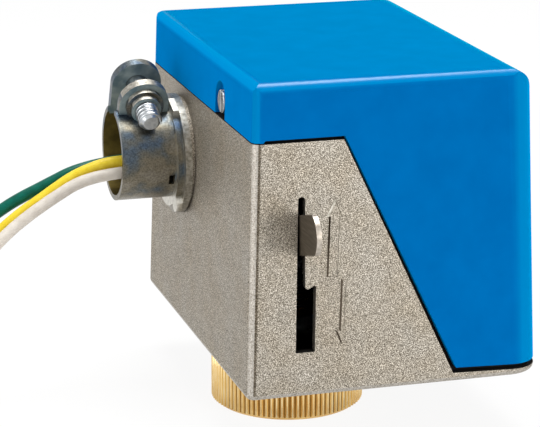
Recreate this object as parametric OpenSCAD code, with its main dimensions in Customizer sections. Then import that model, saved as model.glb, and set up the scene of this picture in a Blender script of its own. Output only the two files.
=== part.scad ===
// Motorised actuator head for a heating valve.
// A cast base carries a geared motor, a manual lever that comes out through a slot, and a
// sprung plunger that presses on the valve stem. A moulded cover closes the top and the right
// side, a knurled union nut screws onto the valve, and a clamp connector brings in three wires.
// Origin: nut axis, in the plane of the valve seat. +Z up, +X right along the slotted front face.

/* [Housing] */
// Width of the base along the slotted face
body_w = 69.3; // [66:0.1:76]
// Depth of the base from the slotted face to the back
body_d = 91.2; // [90.6:0.1:104]
// Height from the base underside to the top of the cover
body_h = 70; // [68:0.5:80]
// Height of the cover's lip on the left, from the base wall to the top
cover_lip_h = 13; // [11:0.2:15]
// Thickness of the bottom plate
plate_t = 1.9; // [1.6:0.1:2.6]
// Thickness of the cast and moulded walls
wall = 2; // [1.6:0.1:2.4]
// Lean of the left, front and back walls over the whole height
draft = 1.9; // [1.2:0.1:2.4]
// Lean of the right wall over the whole height
right_draft = 2.7; // [1.2:0.1:3.4]
// Distance from the left wall to the nut axis
nut_inset = 22.8; // [22.2:0.1:26]
// Height of the base underside above the valve seat
underside_z = 6.7; // [6.6:0.1:8.6]
// Radius of the left upright corners
left_corner_r = 2; // [1:0.1:3]
// Radius of the right upright corners
right_corner_r = 7.6; // [4:0.1:9]
// Radius of the long top edge on the right
top_right_r = 8; // [4:0.1:9]
// Radius of the top edge on the left
top_left_r = 2.5; // [1.5:0.1:4]
// Radius of the edge round the underside
foot_edge_r = 1.1; // [0.6:0.1:1.4]
// Radius of the front and back top edges
top_edge_r = 2.4; // [1.5:0.1:3]

/* [Seams] */
// Place of the slanted seam at the top of the base wall, from the nut axis
seam_top_x = -1; // [-4:0.1:2]
// Place of the slanted seam at the bottom plate, from the nut axis
seam_foot_x = 24.7; // [20:0.1:28]
// Gap of the slanted seam at its top
seam_gap_top = 0.3; // [0.3:0.05:0.8]
// Gap of the slanted seam at its foot
seam_gap_foot = 0.75; // [0.5:0.05:1.6]
// Gap between the cover and the base along the level seam at the front and back
seam_gap = 0.75; // [0.4:0.05:1]
// Gap between the cover and the base along the left wall
left_gap = 0.25; // [0.2:0.05:0.6]
// Gap between the cover and the bottom plate
plate_gap = 1.15; // [0.6:0.05:1.4]
// Height of the slanted seam's foot above the bottom plate
foot_rise = 0.2; // [0:0.05:0.4]
// Fall of the bottom seam from there to the right wall
foot_fall = 0.8; // [0:0.1:1]
// Thickness of the rebate that stands behind the seams
rebate_t = 1.2; // [0.8:0.1:1.6]
// Distance that the rebate reaches past a seam
rebate_reach = 3; // [2:0.1:4]

/* [Lever and slot] */
// Place of the lever's left face, from the nut axis
lever_x = -11.1; // [-12:0.1:-10.6]
// Thickness of the lever plate
lever_t = 1.2; // [1:0.1:1.6]
// Height of the lever where it comes out
lever_h = 8.7; // [7:0.1:9]
// Distance that the lever stands out of the front face
lever_out = 11.4; // [8:0.1:14]
// Upward tilt of the lever in its automatic position
lever_tilt = 16; // [14:0.5:17]
// Turn of the lever from automatic down to manual
lever_swing = 21; // [16:0.5:22]
// Play between the lever and each side of its slot
slot_play = 0.2; // [0.15:0.05:0.3]
// Distance that the slot's left side and its notch lean to the left at the foot
slot_lean = 0.6; // [0:0.1:0.8]
// Room above the lever in the slot
slot_head_room = 4.2; // [2:0.1:6]
// Room below the lever in the slot
slot_foot_room = 1.4; // [0.5:0.1:2.4]
// Width that the latch notch adds to the slot
notch_w = 2.8; // [1.8:0.1:3.4]
// Height of the latch notch
notch_h = 15; // [12:0.1:17]

/* [Plunger and neck] */
// Radius of the crank that presses on the plunger
crank_r = 11; // [10:0.1:11.6]
// Radius of the cam roller
roller_r = 3.5; // [3:0.1:4]
// Width of the cam roller
roller_w = 5; // [4:0.1:6]
// Radius of the plunger stem
stem_r = 3; // [2.5:0.1:3.4]
// Radius of the plunger head
head_r = 6.3; // [6:0.1:6.6]
// Thickness of the plunger head
head_t = 2; // [1.5:0.1:3]
// Height of the plunger nose above the valve seat at rest
nose_z = 12; // [11:0.1:12.6]
// Length of the return spring at rest
spring_len = 11; // [10:0.1:12]
// Thickness of the spring wire
spring_wire = 0.8; // [0.6:0.05:0.9]
// Number of turns of the return spring
spring_turns = 5; // [4:0.5:6]
// Radius of the neck that passes through the bottom plate
neck_r = 11; // [10.6:0.1:11.4]
// Radius of the collar that holds the nut up
collar_r = 13; // [12.6:0.1:13.4]
// Thickness of that collar
collar_h = 3; // [2.4:0.1:3.2]
// Radius of the recess that takes the valve's stem
recess_r = 9; // [8:0.1:9.4]
// Depth of that recess from the valve seat
recess_h = 10; // [9:0.1:10.4]
// Height of the guide sleeve above the spring seat
guide_h = 5; // [4:0.1:6]
// Height of the ring that locks the neck in the plate
lock_ring_h = 3.1; // [2.4:0.1:3.6]
// Outer radius of that ring
lock_ring_r = 14; // [13:0.1:14.6]

/* [Union nut] */
// Outer radius over the knurl
nut_r = 18; // [17.4:0.1:19.5]
// Radius of the threaded bore
nut_bore_r = 14.1; // [13.8:0.05:14.6]
// Threaded depth below the valve seat
nut_thread_h = 10; // [8:0.1:12]
// Number of knurl ribs
knurl_count = 90; // [48:2:96]
// Depth of the knurl
knurl_depth = 0.35; // [0.2:0.05:0.6]
// Height of the plain bevel at each end of the knurl
knurl_bevel = 0.7; // [0.4:0.1:1.2]
// Gap between the nut and the base underside
nut_gap = 0.5; // [0.3:0.05:0.9]

/* [Gear train] */
// Module of the sector and the idler pinion
sector_m = 0.9; // [0.85:0.01:0.92]
// Teeth of the whole circle that the sector is cut from
sector_teeth = 48; // [46:1:50]
// Teeth of the idler pinion
idler_pinion_teeth = 12; // [12:1:13]
// Direction from the lever shaft to the idler arbor
idler_angle = 130; // [127:1:133]
// Module of the idler wheel and the motor pinion
wheel_m = 0.8; // [0.78:0.01:0.82]
// Teeth of the idler wheel
wheel_teeth = 36; // [35:1:37]
// Teeth of the motor pinion
motor_pinion_teeth = 12; // [12:1:13]
// Direction from the idler arbor to the motor shaft
motor_angle = -30; // [-34:1:-27]
// Thickness of the idler wheel
wheel_t = 2; // [1.6:0.1:2.4]
// Backlash of the meshing teeth
backlash = 0.16; // [0.12:0.01:0.2]

/* [Motor and plates] */
// Radius of the motor can
motor_r = 23; // [20:0.5:23.5]
// Length of the motor can
motor_len = 25; // [20:0.5:28]
// Thickness of the can's sheet
can_t = 0.8; // [0.6:0.1:1.2]
// Place of the motor plate, from the nut axis
motor_plate_x = 7; // [6.8:0.1:8]
// Thickness of the motor plate
motor_plate_t = 1.5; // [1.2:0.1:2]
// Thickness of the gear plate
gear_plate_t = 1.2; // [1:0.1:1.5]
// Radius of the lever shaft
shaft_r = 3; // [2.6:0.1:3.2]
// Radius of the idler arbor
arbor_r = 2; // [1.6:0.1:2.4]
// Radius of the motor shaft
motor_shaft_r = 1.5; // [1.2:0.1:1.8]
// Radius of the posts between the plates
post_r = 2.5; // [2.2:0.1:2.8]

/* [Cable connector] */
// Place of the connector along the left wall, from the nut axis
conn_y = 16; // [14:0.1:17]
// Depth of the connector axis below the top of the base wall
conn_drop = 16.2; // [15.6:0.1:17.4]
// Radius of the flange
flange_r = 14.15; // [13.4:0.05:14.6]
// Thickness of the flange
flange_t = 1.6; // [1.2:0.1:2]
// Outer radius of the threaded nipple
nipple_r = 10.4; // [10.2:0.05:10.6]
// Radius of the passage for the wires
passage_r = 8.6; // [8.2:0.1:8.8]
// Outer radius of the strap
strap_r = 11.2; // [10.8:0.1:11.6]
// Height of the strap's axis above the axis of the passage
strap_lift = 1; // [0.6:0.1:1.4]
// Thickness of the strap
strap_t = 1.2; // [1:0.1:1.4]
// Length of the strap along its axis
strap_len = 12.8; // [12.2:0.1:13.4]
// Width of the clamp ears
ear_w = 11.7; // [10:0.1:12]
// Thickness of the clamp ears
clamp_ear_t = 2; // [1.4:0.1:2.2]
// Clear distance between the ears along the clamp screw
ear_gap = 6; // [5.4:0.1:6.8]
// Height of the clamp screw above the strap's axis, in the near ear
clamp_screw_h = 12.9; // [12.5:0.1:13.5]
// Distance of the near ear's hole in front of the strap's axis
near_ear_out = 4.8; // [4:0.1:5.6]
// Slope of the clamp screw, with which both ears lean to the front
clamp_slope = 24; // [16:1:26]
// Radius of the clamp screw's thread
clamp_screw_r = 2.5; // [2.2:0.1:2.8]
// Thickness of the locknut
locknut_t = 2.5; // [2:0.1:3]

/* [Wires] */
// Diameter of each insulated wire
wire_d = 2.8; // [2.4:0.1:2.9]

/* [Fits] */
// Running clearance of shafts and pins, on the radius
run_fit = 0.05; // [0.03:0.01:0.08]
// Clearance of fixed pieces in their holes, on the radius
hole_fit = 0.1; // [0.05:0.01:0.2]
// Gap between the roller and the plunger head at rest
roller_gap = 0.15; // [0.1:0.05:0.3]

/* [Hidden] */
$fn = 48;
hull_fn = 32;
eps = 0.01;

cast_grey = [0.66, 0.62, 0.56];
cover_blue = [0.02, 0.42, 0.74];
brass = [0.80, 0.62, 0.27];
zinc = [0.55, 0.56, 0.56];
steel = [0.70, 0.70, 0.71];
spring_steel = [0.45, 0.45, 0.47];
nylon = [0.90, 0.88, 0.80];
copper = [0.72, 0.42, 0.22];
black = [0.12, 0.12, 0.13];
green = [0.00, 0.45, 0.38];
yellow = [0.90, 0.80, 0.20];
cream = [0.90, 0.88, 0.84];

// Small machine screws of the inner frame
screw_r = 1.5;
screw_head_r = 2.7;
screw_head_h = 1.6;

// Housing planes
left_x = -nut_inset;
right_x = left_x + body_w;
front_y = -body_d / 2;
back_y = body_d / 2;
top_z = underside_z + body_h;
lip_z = top_z - cover_lip_h;
plate_z = underside_z + plate_t;
function lean(z) = draft * (z - underside_z) / body_h;
function right_lean(z) = right_draft * (z - underside_z) / body_h;

// Plunger, crank and lever
neck_top_z = plate_z + lock_ring_h + 1;
head_z = neck_top_z + spring_len;
half_swing = lever_swing / 2;
roller_z = head_z + head_t + roller_gap + roller_r;
shaft_z = roller_z - crank_r * sin(half_swing);
shaft_y = crank_r * cos(half_swing);
stroke = 2 * crank_r * sin(half_swing);

// Lever and slot, measured where the lever passes the front face
lever_dir = 180 - lever_tilt;
lever_len = (shaft_y - front_y + lever_out) / cos(lever_tilt);
lever_run = shaft_y - front_y - draft;
lever_wall_z = shaft_z + lever_run * tan(lever_tilt);
lever_low_z = shaft_z - lever_run * tan(lever_swing - lever_tilt);
slot_x = lever_x - slot_play;
slot_w = lever_t + 2 * slot_play;
slot_top_z = lever_wall_z + lever_h / 2 / cos(lever_tilt) + slot_head_room;
slot_foot_z = lever_low_z - lever_h / 2 / cos(lever_swing - lever_tilt) - slot_foot_room;

// Gear centres in the plane of Y and Z
sector_r = sector_m * sector_teeth / 2;
idler_pinion_r = sector_m * idler_pinion_teeth / 2;
wheel_r = wheel_m * wheel_teeth / 2;
motor_pinion_r = wheel_m * motor_pinion_teeth / 2;
idler_dist = sector_r + idler_pinion_r;
motor_dist = wheel_r + motor_pinion_r;
idler_y = shaft_y + idler_dist * cos(idler_angle);
idler_z = shaft_z + idler_dist * sin(idler_angle);
motor_y = idler_y + motor_dist * cos(motor_angle);
motor_z = idler_z + motor_dist * sin(motor_angle);
tooth_add = 0.8;
tooth_ded = 1.15;
pressure = 20;
sector_span_low = lever_swing + 8;
sector_span_high = 8;

// Connector planes along X
conn_z = lip_z - conn_drop;
strap_z = conn_z + strap_lift;
seat_out_x = left_x + lean(conn_z - flange_r) - 0.35;
seat_in_x = left_x + lean(conn_z + flange_r) + wall + 0.2;
nipple_end_x = seat_in_x + locknut_t + 0.2;
collar_x = seat_out_x - flange_t;
collar_len = 1.4;
locknut_r = nipple_r + 3;
strap_x = collar_x - collar_len;
mouth_x = strap_x - strap_len;
ear_x = mouth_x + strap_len / 2;
clamp_dir = [cos(clamp_slope), sin(clamp_slope)];
ear_fall_dir = [sin(clamp_slope), -cos(clamp_slope)];
near_ear = [-near_ear_out, clamp_screw_h];
ear_step = ear_gap + clamp_ear_t;
ear_rise = -near_ear * ear_fall_dir;
near_off = near_ear * clamp_dir;
far_off = near_off + ear_step;
strap_mid_r = strap_r - strap_t / 2;
near_leg = ear_rise - sqrt(max(pow(strap_mid_r, 2) - pow(near_off, 2), 1));
far_leg = ear_rise - sqrt(max(pow(strap_mid_r, 2) - pow(far_off, 2), 1)) + 0.2;
ear_cut = ear_rise - sqrt(max(pow(strap_r - strap_t, 2) - pow(far_off - clamp_ear_t / 2, 2), 1)) + 0.05;
low_lug_angle = -130;
high_lug_angle = 113;

// Plates and what stands between them
gear_plate_x = nipple_end_x + 0.25;
plate_in_x = gear_plate_x + gear_plate_t;
post_len = motor_plate_x - plate_in_x;
wheel_x = lever_x + lever_t + 2.6;
pinion_x = lever_x - 1.6;
plate_rim = 1.6;
post_low_front = [-lock_ring_r - post_r - 1.5, plate_z + post_r + plate_rim + 0.5];
post_low_back = [motor_y, motor_z] + (motor_r + screw_head_r + 1.5) * [cos(-52), sin(-52)];
post_reach = wheel_r + tooth_add * wheel_m + post_r + 1;
post_high_z = min(idler_z + post_reach, top_z - wall - post_r - plate_rim - 0.4);
post_high = [idler_y + sqrt(max(post_reach ^ 2 - (post_high_z - idler_z) ^ 2, 0)), post_high_z];
posts = [post_low_front, post_low_back, post_high];
motor_x = motor_plate_x + motor_plate_t;
motor_ear_r = motor_r + 4;
motor_ear_angle = 30;
ear_t = 1.2;
motor_ears = [for (side = [0, 180])
    [motor_y, motor_z] + motor_ear_r * [cos(motor_ear_angle + side), sin(motor_ear_angle + side)]];
foot_len = 10;
foot_w = 9;
foot_t = 1.2;
foot_boss_h = 3;
foot_gap = screw_head_r + foot_w / 2 + 0.5;
foot_ys = [post_low_front[0] - foot_gap, post_low_back[0] + foot_gap];
foot_x = motor_x + foot_len / 2;

// Cover screw
screw_y = -17.5;
cover_head_r = 2.6;
cover_screw_z = lip_z + cover_head_r + 1;
cover_screw_x = left_x + lean(cover_screw_z);
pocket_w = 7.8;
pocket_depth = 1.5;
tongue_t = 1.6;
tongue_w = pocket_w + 3;
tab_t = 2.2;
tab_foot_z = lip_z - 12;
tab_top_z = cover_screw_z + screw_r + 0.5;
tab_x = cover_screw_x + pocket_depth + tongue_t + hole_fit;

// Terminal block and wires. Each route is chosen by hand, from the block to the bare end.
block_x = nipple_end_x + 1.2;
block_len = 5.6;
block_w = 10;
block_y = idler_y + wheel_r + wheel_m + 1.5;
block_z = conn_z - 6.2;
block_leg_z = motor_z + motor_pinion_r + wheel_m + 0.6;
block_h = max(10.4, block_leg_z + 2 - block_z);
socket_depth = 3;
drawn_for = [-22.8, 16, 47.5];
drawn_rest_z = -8.5;
drawn_yellow = [
    [-12.6, 12.7, 47.4], [-17.1, 12.7, 47.4], [-24.1, 13, 47.3], [-31.1, 13.2, 47.2],
    [-36.1, 13.2, 47.1], [-40.6, 13.2, 46.8], [-44.6, 13.2, 45.9], [-48.6, 13.3, 44.4],
    [-52.1, 13.3, 42.5], [-56.1, 13.3, 40], [-60.3, 13.3, 37.2], [-64.3, 13.3, 34.2],
    [-68.3, 13.3, 30.6], [-72.1, 13.3, 26.7], [-75.6, 13.3, 22.5], [-78.9, 13.2, 17.8],
    [-81.9, 13.1, 12.8], [-84.9, 13.2, 7.5], [-88.1, 13.3, 2.2], [-91.7, 13.5, -2.3],
    [-95.9, 13.7, -5.8], [-100.9, 13.9, -7.9], [-106.6, 14.1, -8.5], [-113.1, 14.3, -8.5],
    [-120.1, 14.5, -8.5]
];
drawn_white = [
    [-12.6, 12.3, 43.8], [-17.1, 12.3, 43.8], [-24.1, 11.7, 44.4], [-31.1, 11.1, 44.9],
    [-36.1, 10.8, 45], [-40.6, 10.6, 44.7], [-44.6, 10.5, 44.1], [-48.6, 10.5, 42.8],
    [-52.1, 10.5, 40.9], [-56.1, 10.5, 38.5], [-60.3, 10.5, 35.7], [-64.4, 10.5, 32.5],
    [-68.1, 10.4, 29], [-71.5, 10.4, 25], [-74.6, 10.4, 20.5], [-77.4, 10.4, 15.4],
    [-80, 10.4, 10.2], [-82.7, 10.2, 5], [-85.9, 10, 0.2], [-89.7, 9.8, -3.9], [-94.3, 9.6, -6.9],
    [-99.7, 9.4, -8.4], [-105.6, 9.2, -8.5], [-112.1, 9, -8.5], [-118.6, 8.8, -8.5]
];
drawn_green = [
    [-12.6, 16.1, 46.8], [-17.1, 16.1, 46.8], [-24.1, 16.5, 47.2], [-31.1, 16.7, 47.5],
    [-36.1, 16.7, 47.4], [-40.6, 16.7, 46.9], [-44.6, 16.7, 46.2], [-48.6, 16.7, 45.1],
    [-52.1, 16.7, 43.6], [-56.1, 16.7, 41.8], [-60.1, 16.7, 40], [-64.1, 16.8, 37.8],
    [-68.3, 16.9, 34.9], [-72.5, 17, 31.1], [-76.5, 17, 26.5], [-80.1, 16.9, 21.1],
    [-83.3, 16.8, 15.1], [-86.5, 16.8, 9.1], [-89.9, 17, 3.4], [-93.7, 17.2, -1.5],
    [-98.1, 17.4, -5.4], [-103.3, 17.6, -7.8], [-109.3, 17.8, -8.5], [-116.1, 18, -8.5],
    [-123.1, 18.2, -8.5]
];
// The routes follow the left wall and the connector, and lie on what the nut stands on
rest_z = 1.5 - nut_thread_h;
function hung(route) =
    [for (p = route) [
        p[0] + left_x - drawn_for[0], p[1] + conn_y - drawn_for[1],
        rest_z + (p[2] - drawn_rest_z) * (conn_z - rest_z) / (drawn_for[2] - drawn_rest_z)
    ]];
route_yellow = hung(drawn_yellow);
route_white = hung(drawn_white);
route_green = hung(drawn_green);
wire_sides = 8;

echo(stroke_mm = stroke, shaft = [shaft_y, shaft_z], idler = [idler_y, idler_z],
     motor = [motor_y, motor_z]);
echo(slot_from = slot_foot_z, slot_to = slot_top_z, mouth = mouth_x, conn_z = conn_z,
     nipple_end = nipple_end_x, neck_top = neck_top_z);

// Plate shape drawn in Y and Z, standing from x0 with thickness t
module yz_plate(x0, t) {
    translate([x0, 0, 0]) rotate([90, 0, 90]) linear_extrude(t) children();
}

// Profile drawn in X and Z, running along Y through the whole depth
module along_depth() {
    translate([0, back_y + 1, 0]) rotate([90, 0, 0]) linear_extrude(body_d + 2) children();
}

// Round rod along X, Y
module rod_x(x0, len, r, y = 0, z = 0) {
    translate([x0, y, z]) rotate([0, 90, 0]) cylinder(h = len, r = r);
}

module rod_y(y0, len, r, x = 0, z = 0) {
    translate([x, y0 + len, z]) rotate([90, 0, 0]) cylinder(h = len, r = r);
}

// Flat bar of half-width w on the line from p to q
module bar_2d(p, q, w) {
    dir = (q - p) / norm(q - p);
    side = w * [-dir[1], dir[0]];
    polygon([p + side, p - side, q - side, q + side]);
}

function arc(c, r, from, to, steps = 10) =
    [for (i = [0 : steps]) let (a = from + (to - from) * i / steps) c + r * [cos(a), sin(a)]];

// Gear outlines with involute flanks
function inv(a) = tan(a) * 180 / PI - a;
function flank(m, z, r) =
    let (rb = m * z / 2 * cos(pressure), rp = m * z / 2)
    90 / z - backlash / 2 / rp * 90 / PI + inv(pressure) - inv(acos(min(1, rb / max(r, rb))));
function tooth(m, z, at) =
    let (
        root = m * z / 2 - tooth_ded * m,
        tip = m * z / 2 + tooth_add * m,
        mid = max(m * z / 2 * cos(pressure), root + 0.1),
        rs = [root, mid, mid + (tip - mid) * 0.35, mid + (tip - mid) * 0.7, tip]
    )
    concat(
        [for (i = [0 : 4]) rs[i] * [cos(at - flank(m, z, rs[i])), sin(at - flank(m, z, rs[i]))]],
        [for (i = [4 : -1 : 0]) rs[i] * [cos(at + flank(m, z, rs[i])), sin(at + flank(m, z, rs[i]))]]
    );

module gear_2d(m, z, turn) {
    polygon([for (i = [0 : z - 1]) each tooth(m, z, turn + i * 360 / z)]);
}

// Tube swept along a list of points, closed at both ends. The points never run along up.
function unit(v) = v / norm(v);
function run_dir(p, i) = unit(p[min(i + 1, len(p) - 1)] - p[max(i - 1, 0)]);
function ring_points(p, i, r, n, up) =
    let (t = run_dir(p, i), u = unit(cross(t, up)), v = cross(t, u))
    [for (k = [0 : n - 1]) p[i] + r * (u * cos(360 * k / n) + v * sin(360 * k / n))];

module swept_tube(p, r, n, up) {
    last = (len(p) - 1) * n;
    polyhedron(
        points = [for (i = [0 : len(p) - 1]) each ring_points(p, i, r, n, up)],
        faces = concat(
            [for (i = [0 : len(p) - 2], k = [0 : n - 1]) [i * n + k, (i + 1) * n + k, i * n + (k + 1) % n]],
            [for (i = [0 : len(p) - 2], k = [0 : n - 1])
                [(i + 1) * n + k, (i + 1) * n + (k + 1) % n, i * n + (k + 1) % n]],
            [for (k = [1 : n - 2]) [0, k, k + 1]],
            [for (k = [1 : n - 2]) [last, last + k + 1, last + k]]
        )
    );
}

// Housing block with leaning walls, set in by a margin all round, with a rounded foot
module leaning_block(margin, z0, z1, foot_r = 0) {
    foot = foot_r > 0 ?
        [for (a = [0 : 30 : 90]) [z0 + foot_r * (1 - cos(a)), foot_r * (1 - sin(a))]] : [[z0, 0]];
    hull()
        for (slice = concat(foot, [[z1 - eps, 0]]), sx = [0, 1], sy = [-1, 1]) {
            z = slice[0];
            edge = margin + slice[1];
            r = max((sx == 0 ? left_corner_r : right_corner_r) - edge, 0.5);
            x = sx == 0 ? left_x + edge + lean(z) + r : right_x - edge - right_lean(z) - r;
            translate([x, sy * (back_y - edge - lean(z) - r), z]) cylinder(h = eps, r = r, $fn = hull_fn);
        }
}

// Base side of the seams, seen from the front
module base_profile(grow = 0) {
    polygon([
        [left_x - 1, underside_z - 1], [right_x + 1, underside_z - 1],
        [right_x + 1, plate_z + foot_rise - foot_fall + grow],
        [seam_foot_x + grow, plate_z + foot_rise + grow],
        [seam_top_x + grow, lip_z + grow], [left_x - 1, lip_z + grow]
    ]);
}

// Cover side of the seams, seen from the front
module cover_profile() {
    polygon([
        [left_x - 1, lip_z + left_gap], [left_x + draft + wall, lip_z + left_gap],
        [left_x + draft + 1.2 * wall, lip_z + seam_gap], [seam_top_x + seam_gap_top, lip_z + seam_gap],
        [seam_foot_x + seam_gap_foot, plate_z + foot_rise + plate_gap],
        [right_x + 1, plate_z + foot_rise - foot_fall + plate_gap],
        [right_x + 1, top_z + 1], [left_x - 1, top_z + 1]
    ]);
}

// Rounded top edges seen from the front, set in by a margin
module roof_front_profile(margin = 0) {
    rr = max(top_right_r - margin, 0.5);
    rl = max(top_left_r - margin, 0.5);
    top = top_z - margin;
    end_r = right_x - right_lean(top - rr) - margin;
    end_l = left_x + lean(top - rl) + margin;
    polygon(concat(
        [[left_x - 1, underside_z - 2], [right_x + 1, underside_z - 2], [right_x + 1, top - rr]],
        arc([end_r - rr, top - rr], rr, 0, 90),
        arc([end_l + rl, top - rl], rl, 90, 180),
        [[left_x - 1, top - rl]]
    ));
}

// Rounded top edges seen from the left, set in by a margin
module roof_side_profile(margin = 0) {
    r = max(top_edge_r - margin, 0.3);
    top = top_z - margin;
    end = back_y - lean(top - r) - margin;
    polygon(concat(
        [[front_y - 1, underside_z - 2], [back_y + 1, underside_z - 2], [back_y + 1, top - r]],
        arc([end - r, top - r], r, 0, 90),
        arc([r - end, top - r], r, 90, 180),
        [[front_y - 1, top - r]]
    ));
}

// Slot with its latch notch: a hooked tooth keeps the latched lever down
module slot_2d() {
    notch_top = slot_foot_z + notch_h;
    right = slot_x + slot_w;
    notch_lean = slot_lean * (slot_top_z - notch_top) / (slot_top_z - slot_foot_z);
    notch_right = right + notch_w - notch_lean;
    tooth_w = 0.6;
    polygon([
        [slot_x - slot_lean, slot_foot_z], [right + notch_w - slot_lean, slot_foot_z],
        [notch_right, notch_top - 0.4], [notch_right - 0.4, notch_top], [right + tooth_w, notch_top - 0.8],
        [right, notch_top - 0.4], [right, slot_top_z - slot_w / 2], [slot_x, slot_top_z - slot_w / 2]
    ]);
    translate([slot_x + slot_w / 2, slot_top_z - slot_w / 2]) circle(slot_w / 2);
}

// Rebate that stands behind the seams, clear of the cover's inside and of its screw tongue
module seam_rebate() {
    rebate_z = underside_z + 0.3;
    difference() {
        intersection() {
            union() {
                difference() {
                    leaning_block(wall - eps, rebate_z, top_z);
                    along_depth() translate([0, eps]) cover_profile();
                    along_depth() difference() {
                        translate([left_x - 2, underside_z - 2]) square([body_w + 4, body_h + 4]);
                        base_profile();
                    }
                }
                leaning_block(wall + hole_fit, rebate_z, top_z);
            }
            along_depth() difference() {
                base_profile(rebate_reach);
                base_profile(-rebate_reach);
            }
        }
        leaning_block(wall + hole_fit + rebate_t, underside_z - 1, top_z + 1);
        translate([left_x, screw_y - tongue_w / 2 - 0.4, lip_z - eps])
            cube([tab_x - left_x + 1, tongue_w + 0.8, cover_lip_h + 1]);
        // Room to turn the connector's locknut
        rod_x(seat_in_x, rebate_t + wall, locknut_r + 0.6, conn_y, conn_z);
    }
}

module base_casting() {
    color(cast_grey) difference() {
        union() {
            difference() {
                intersection() {
                    leaning_block(0, underside_z, top_z, foot_edge_r);
                    along_depth() base_profile();
                }
                leaning_block(wall, plate_z, top_z + 1);
            }
            seam_rebate();
            // Flat pads for the connector on both sides of the left wall
            intersection() {
                rod_x(seat_out_x, seat_in_x - seat_out_x, flange_r - 0.8, conn_y, conn_z);
                along_depth() base_profile();
            }
            // Tab that takes the cover screw
            translate([tab_x, screw_y - pocket_w / 2, tab_foot_z])
                cube([tab_t, pocket_w, tab_top_z - tab_foot_z]);
            translate([cover_screw_x + wall / 2, screw_y - pocket_w / 2, tab_foot_z])
                cube([tab_x - cover_screw_x, pocket_w, lip_z - 1 - tab_foot_z]);
            // Bosses for the feet of the motor plate
            for (y = foot_ys)
                translate([foot_x, y, plate_z - eps]) cylinder(h = foot_boss_h + eps, r = screw_r + 2.1);
        }
        translate([0, front_y + wall + 2.5, 0]) rotate([90, 0, 0]) linear_extrude(wall + 4) slot_2d();
        rod_x(seat_out_x - 1, seat_in_x - seat_out_x + 2, nipple_r + hole_fit, conn_y, conn_z);
        translate([0, 0, underside_z - 1]) cylinder(h = plate_t + 2, r = neck_r + hole_fit);
        rod_x(cover_screw_x, 12, screw_r + hole_fit, screw_y, cover_screw_z);
        for (y = foot_ys)
            translate([foot_x, y, plate_z - 0.4]) cylinder(h = foot_boss_h + 2, r = screw_r + hole_fit);
    }
}

// Housing shape under the rounded roof, set in by a margin
module roofed_block(margin) {
    intersection() {
        leaning_block(margin, underside_z - 1, top_z);
        along_depth() roof_front_profile(margin);
        yz_plate(left_x - 1, body_w + 2) roof_side_profile(margin);
    }
}

module cover() {
    tongue_x = cover_screw_x + pocket_depth;
    color(cover_blue) difference() {
        union() {
            difference() {
                intersection() {
                    roofed_block(0);
                    along_depth() cover_profile();
                }
                roofed_block(wall);
            }
            // Tongue behind the screw pocket
            translate([tongue_x, screw_y - tongue_w / 2, lip_z + seam_gap])
                cube([tongue_t, tongue_w, top_z - wall / 2 - lip_z - seam_gap]);
        }
        // Screw pocket, open at the lip
        rod_x(tongue_x - 5, 5, pocket_w / 2, screw_y, cover_screw_z + 0.8);
        translate([tongue_x - 5, screw_y - pocket_w / 2, lip_z - 1])
            cube([5, pocket_w, cover_screw_z + 1.8 - lip_z]);
        rod_x(tongue_x - 1, tongue_t + 2, screw_r + 2 * hole_fit, screw_y, cover_screw_z);
        translate([tongue_x - 1, screw_y - screw_r - 2 * hole_fit, lip_z - 1])
            cube([tongue_t + 2, 2 * screw_r + 4 * hole_fit, cover_screw_z + 1 - lip_z]);
    }
}

module cover_screw() {
    head_x = cover_screw_x + pocket_depth;
    color(steel) difference() {
        union() {
            rod_x(head_x - 1.4, 1.4, cover_head_r, screw_y, cover_screw_z);
            rod_x(head_x - eps, 7.5, screw_r, screw_y, cover_screw_z);
        }
        translate([head_x - 1.5, screw_y - 0.4, cover_screw_z - 3]) cube([0.8, 0.8, 6]);
    }
}

module union_nut() {
    low = -nut_thread_h;
    high = underside_z - nut_gap;
    lip = collar_h + 0.3;
    root = nut_r - knurl_depth;
    step = 360 / knurl_count;
    color(brass) difference() {
        union() {
            translate([0, 0, low + knurl_bevel]) linear_extrude(high - low - 2 * knurl_bevel)
                polygon([for (i = [0 : knurl_count - 1], k = [0 : 3])
                    let (a = step * (i + k * 0.25), r = k == 1 || k == 2 ? nut_r : root)
                        r * [cos(a), sin(a)]]);
            rotate_extrude($fn = 96)
                polygon([
                    [0, low], [root - knurl_bevel, low], [root, low + knurl_bevel],
                    [root, high - knurl_bevel], [root - knurl_bevel, high], [0, high]
                ]);
        }
        translate([0, 0, low - 1]) cylinder(h = nut_thread_h + 1, r = nut_bore_r);
        translate([0, 0, -eps]) cylinder(h = lip + eps, r = nut_bore_r + 0.9);
        translate([0, 0, lip - eps]) cylinder(h = high, r = neck_r + run_fit);
    }
}

module neck_bush() {
    color(brass) rotate_extrude($fn = 96)
        polygon([
            [recess_r, 0], [collar_r, 0], [collar_r, collar_h], [neck_r, collar_h], [neck_r, neck_top_z],
            [stem_r + 1.8, neck_top_z], [stem_r + 1.8, neck_top_z + guide_h],
            [stem_r + run_fit, neck_top_z + guide_h], [stem_r + run_fit, recess_h], [recess_r, recess_h]
        ]);
}

module neck_lock_ring() {
    color(steel) translate([0, 0, plate_z]) difference() {
        cylinder(h = lock_ring_h, r = lock_ring_r);
        translate([0, 0, -1]) cylinder(h = lock_ring_h + 2, r = neck_r + hole_fit);
        for (a = [0 : 90 : 270])
            rotate([0, 0, a]) translate([lock_ring_r - 1.4, -1.5, -1]) cube([3, 3, lock_ring_h + 2]);
    }
}

module plunger() {
    top = head_z + head_t;
    color(steel) rotate_extrude()
        polygon([
            [0, nose_z], [stem_r - 0.5, nose_z], [stem_r, nose_z + 0.5], [stem_r, head_z], [head_r, head_z],
            [head_r, top - 0.4], [head_r - 0.4, top], [0, top]
        ]);
}

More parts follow.
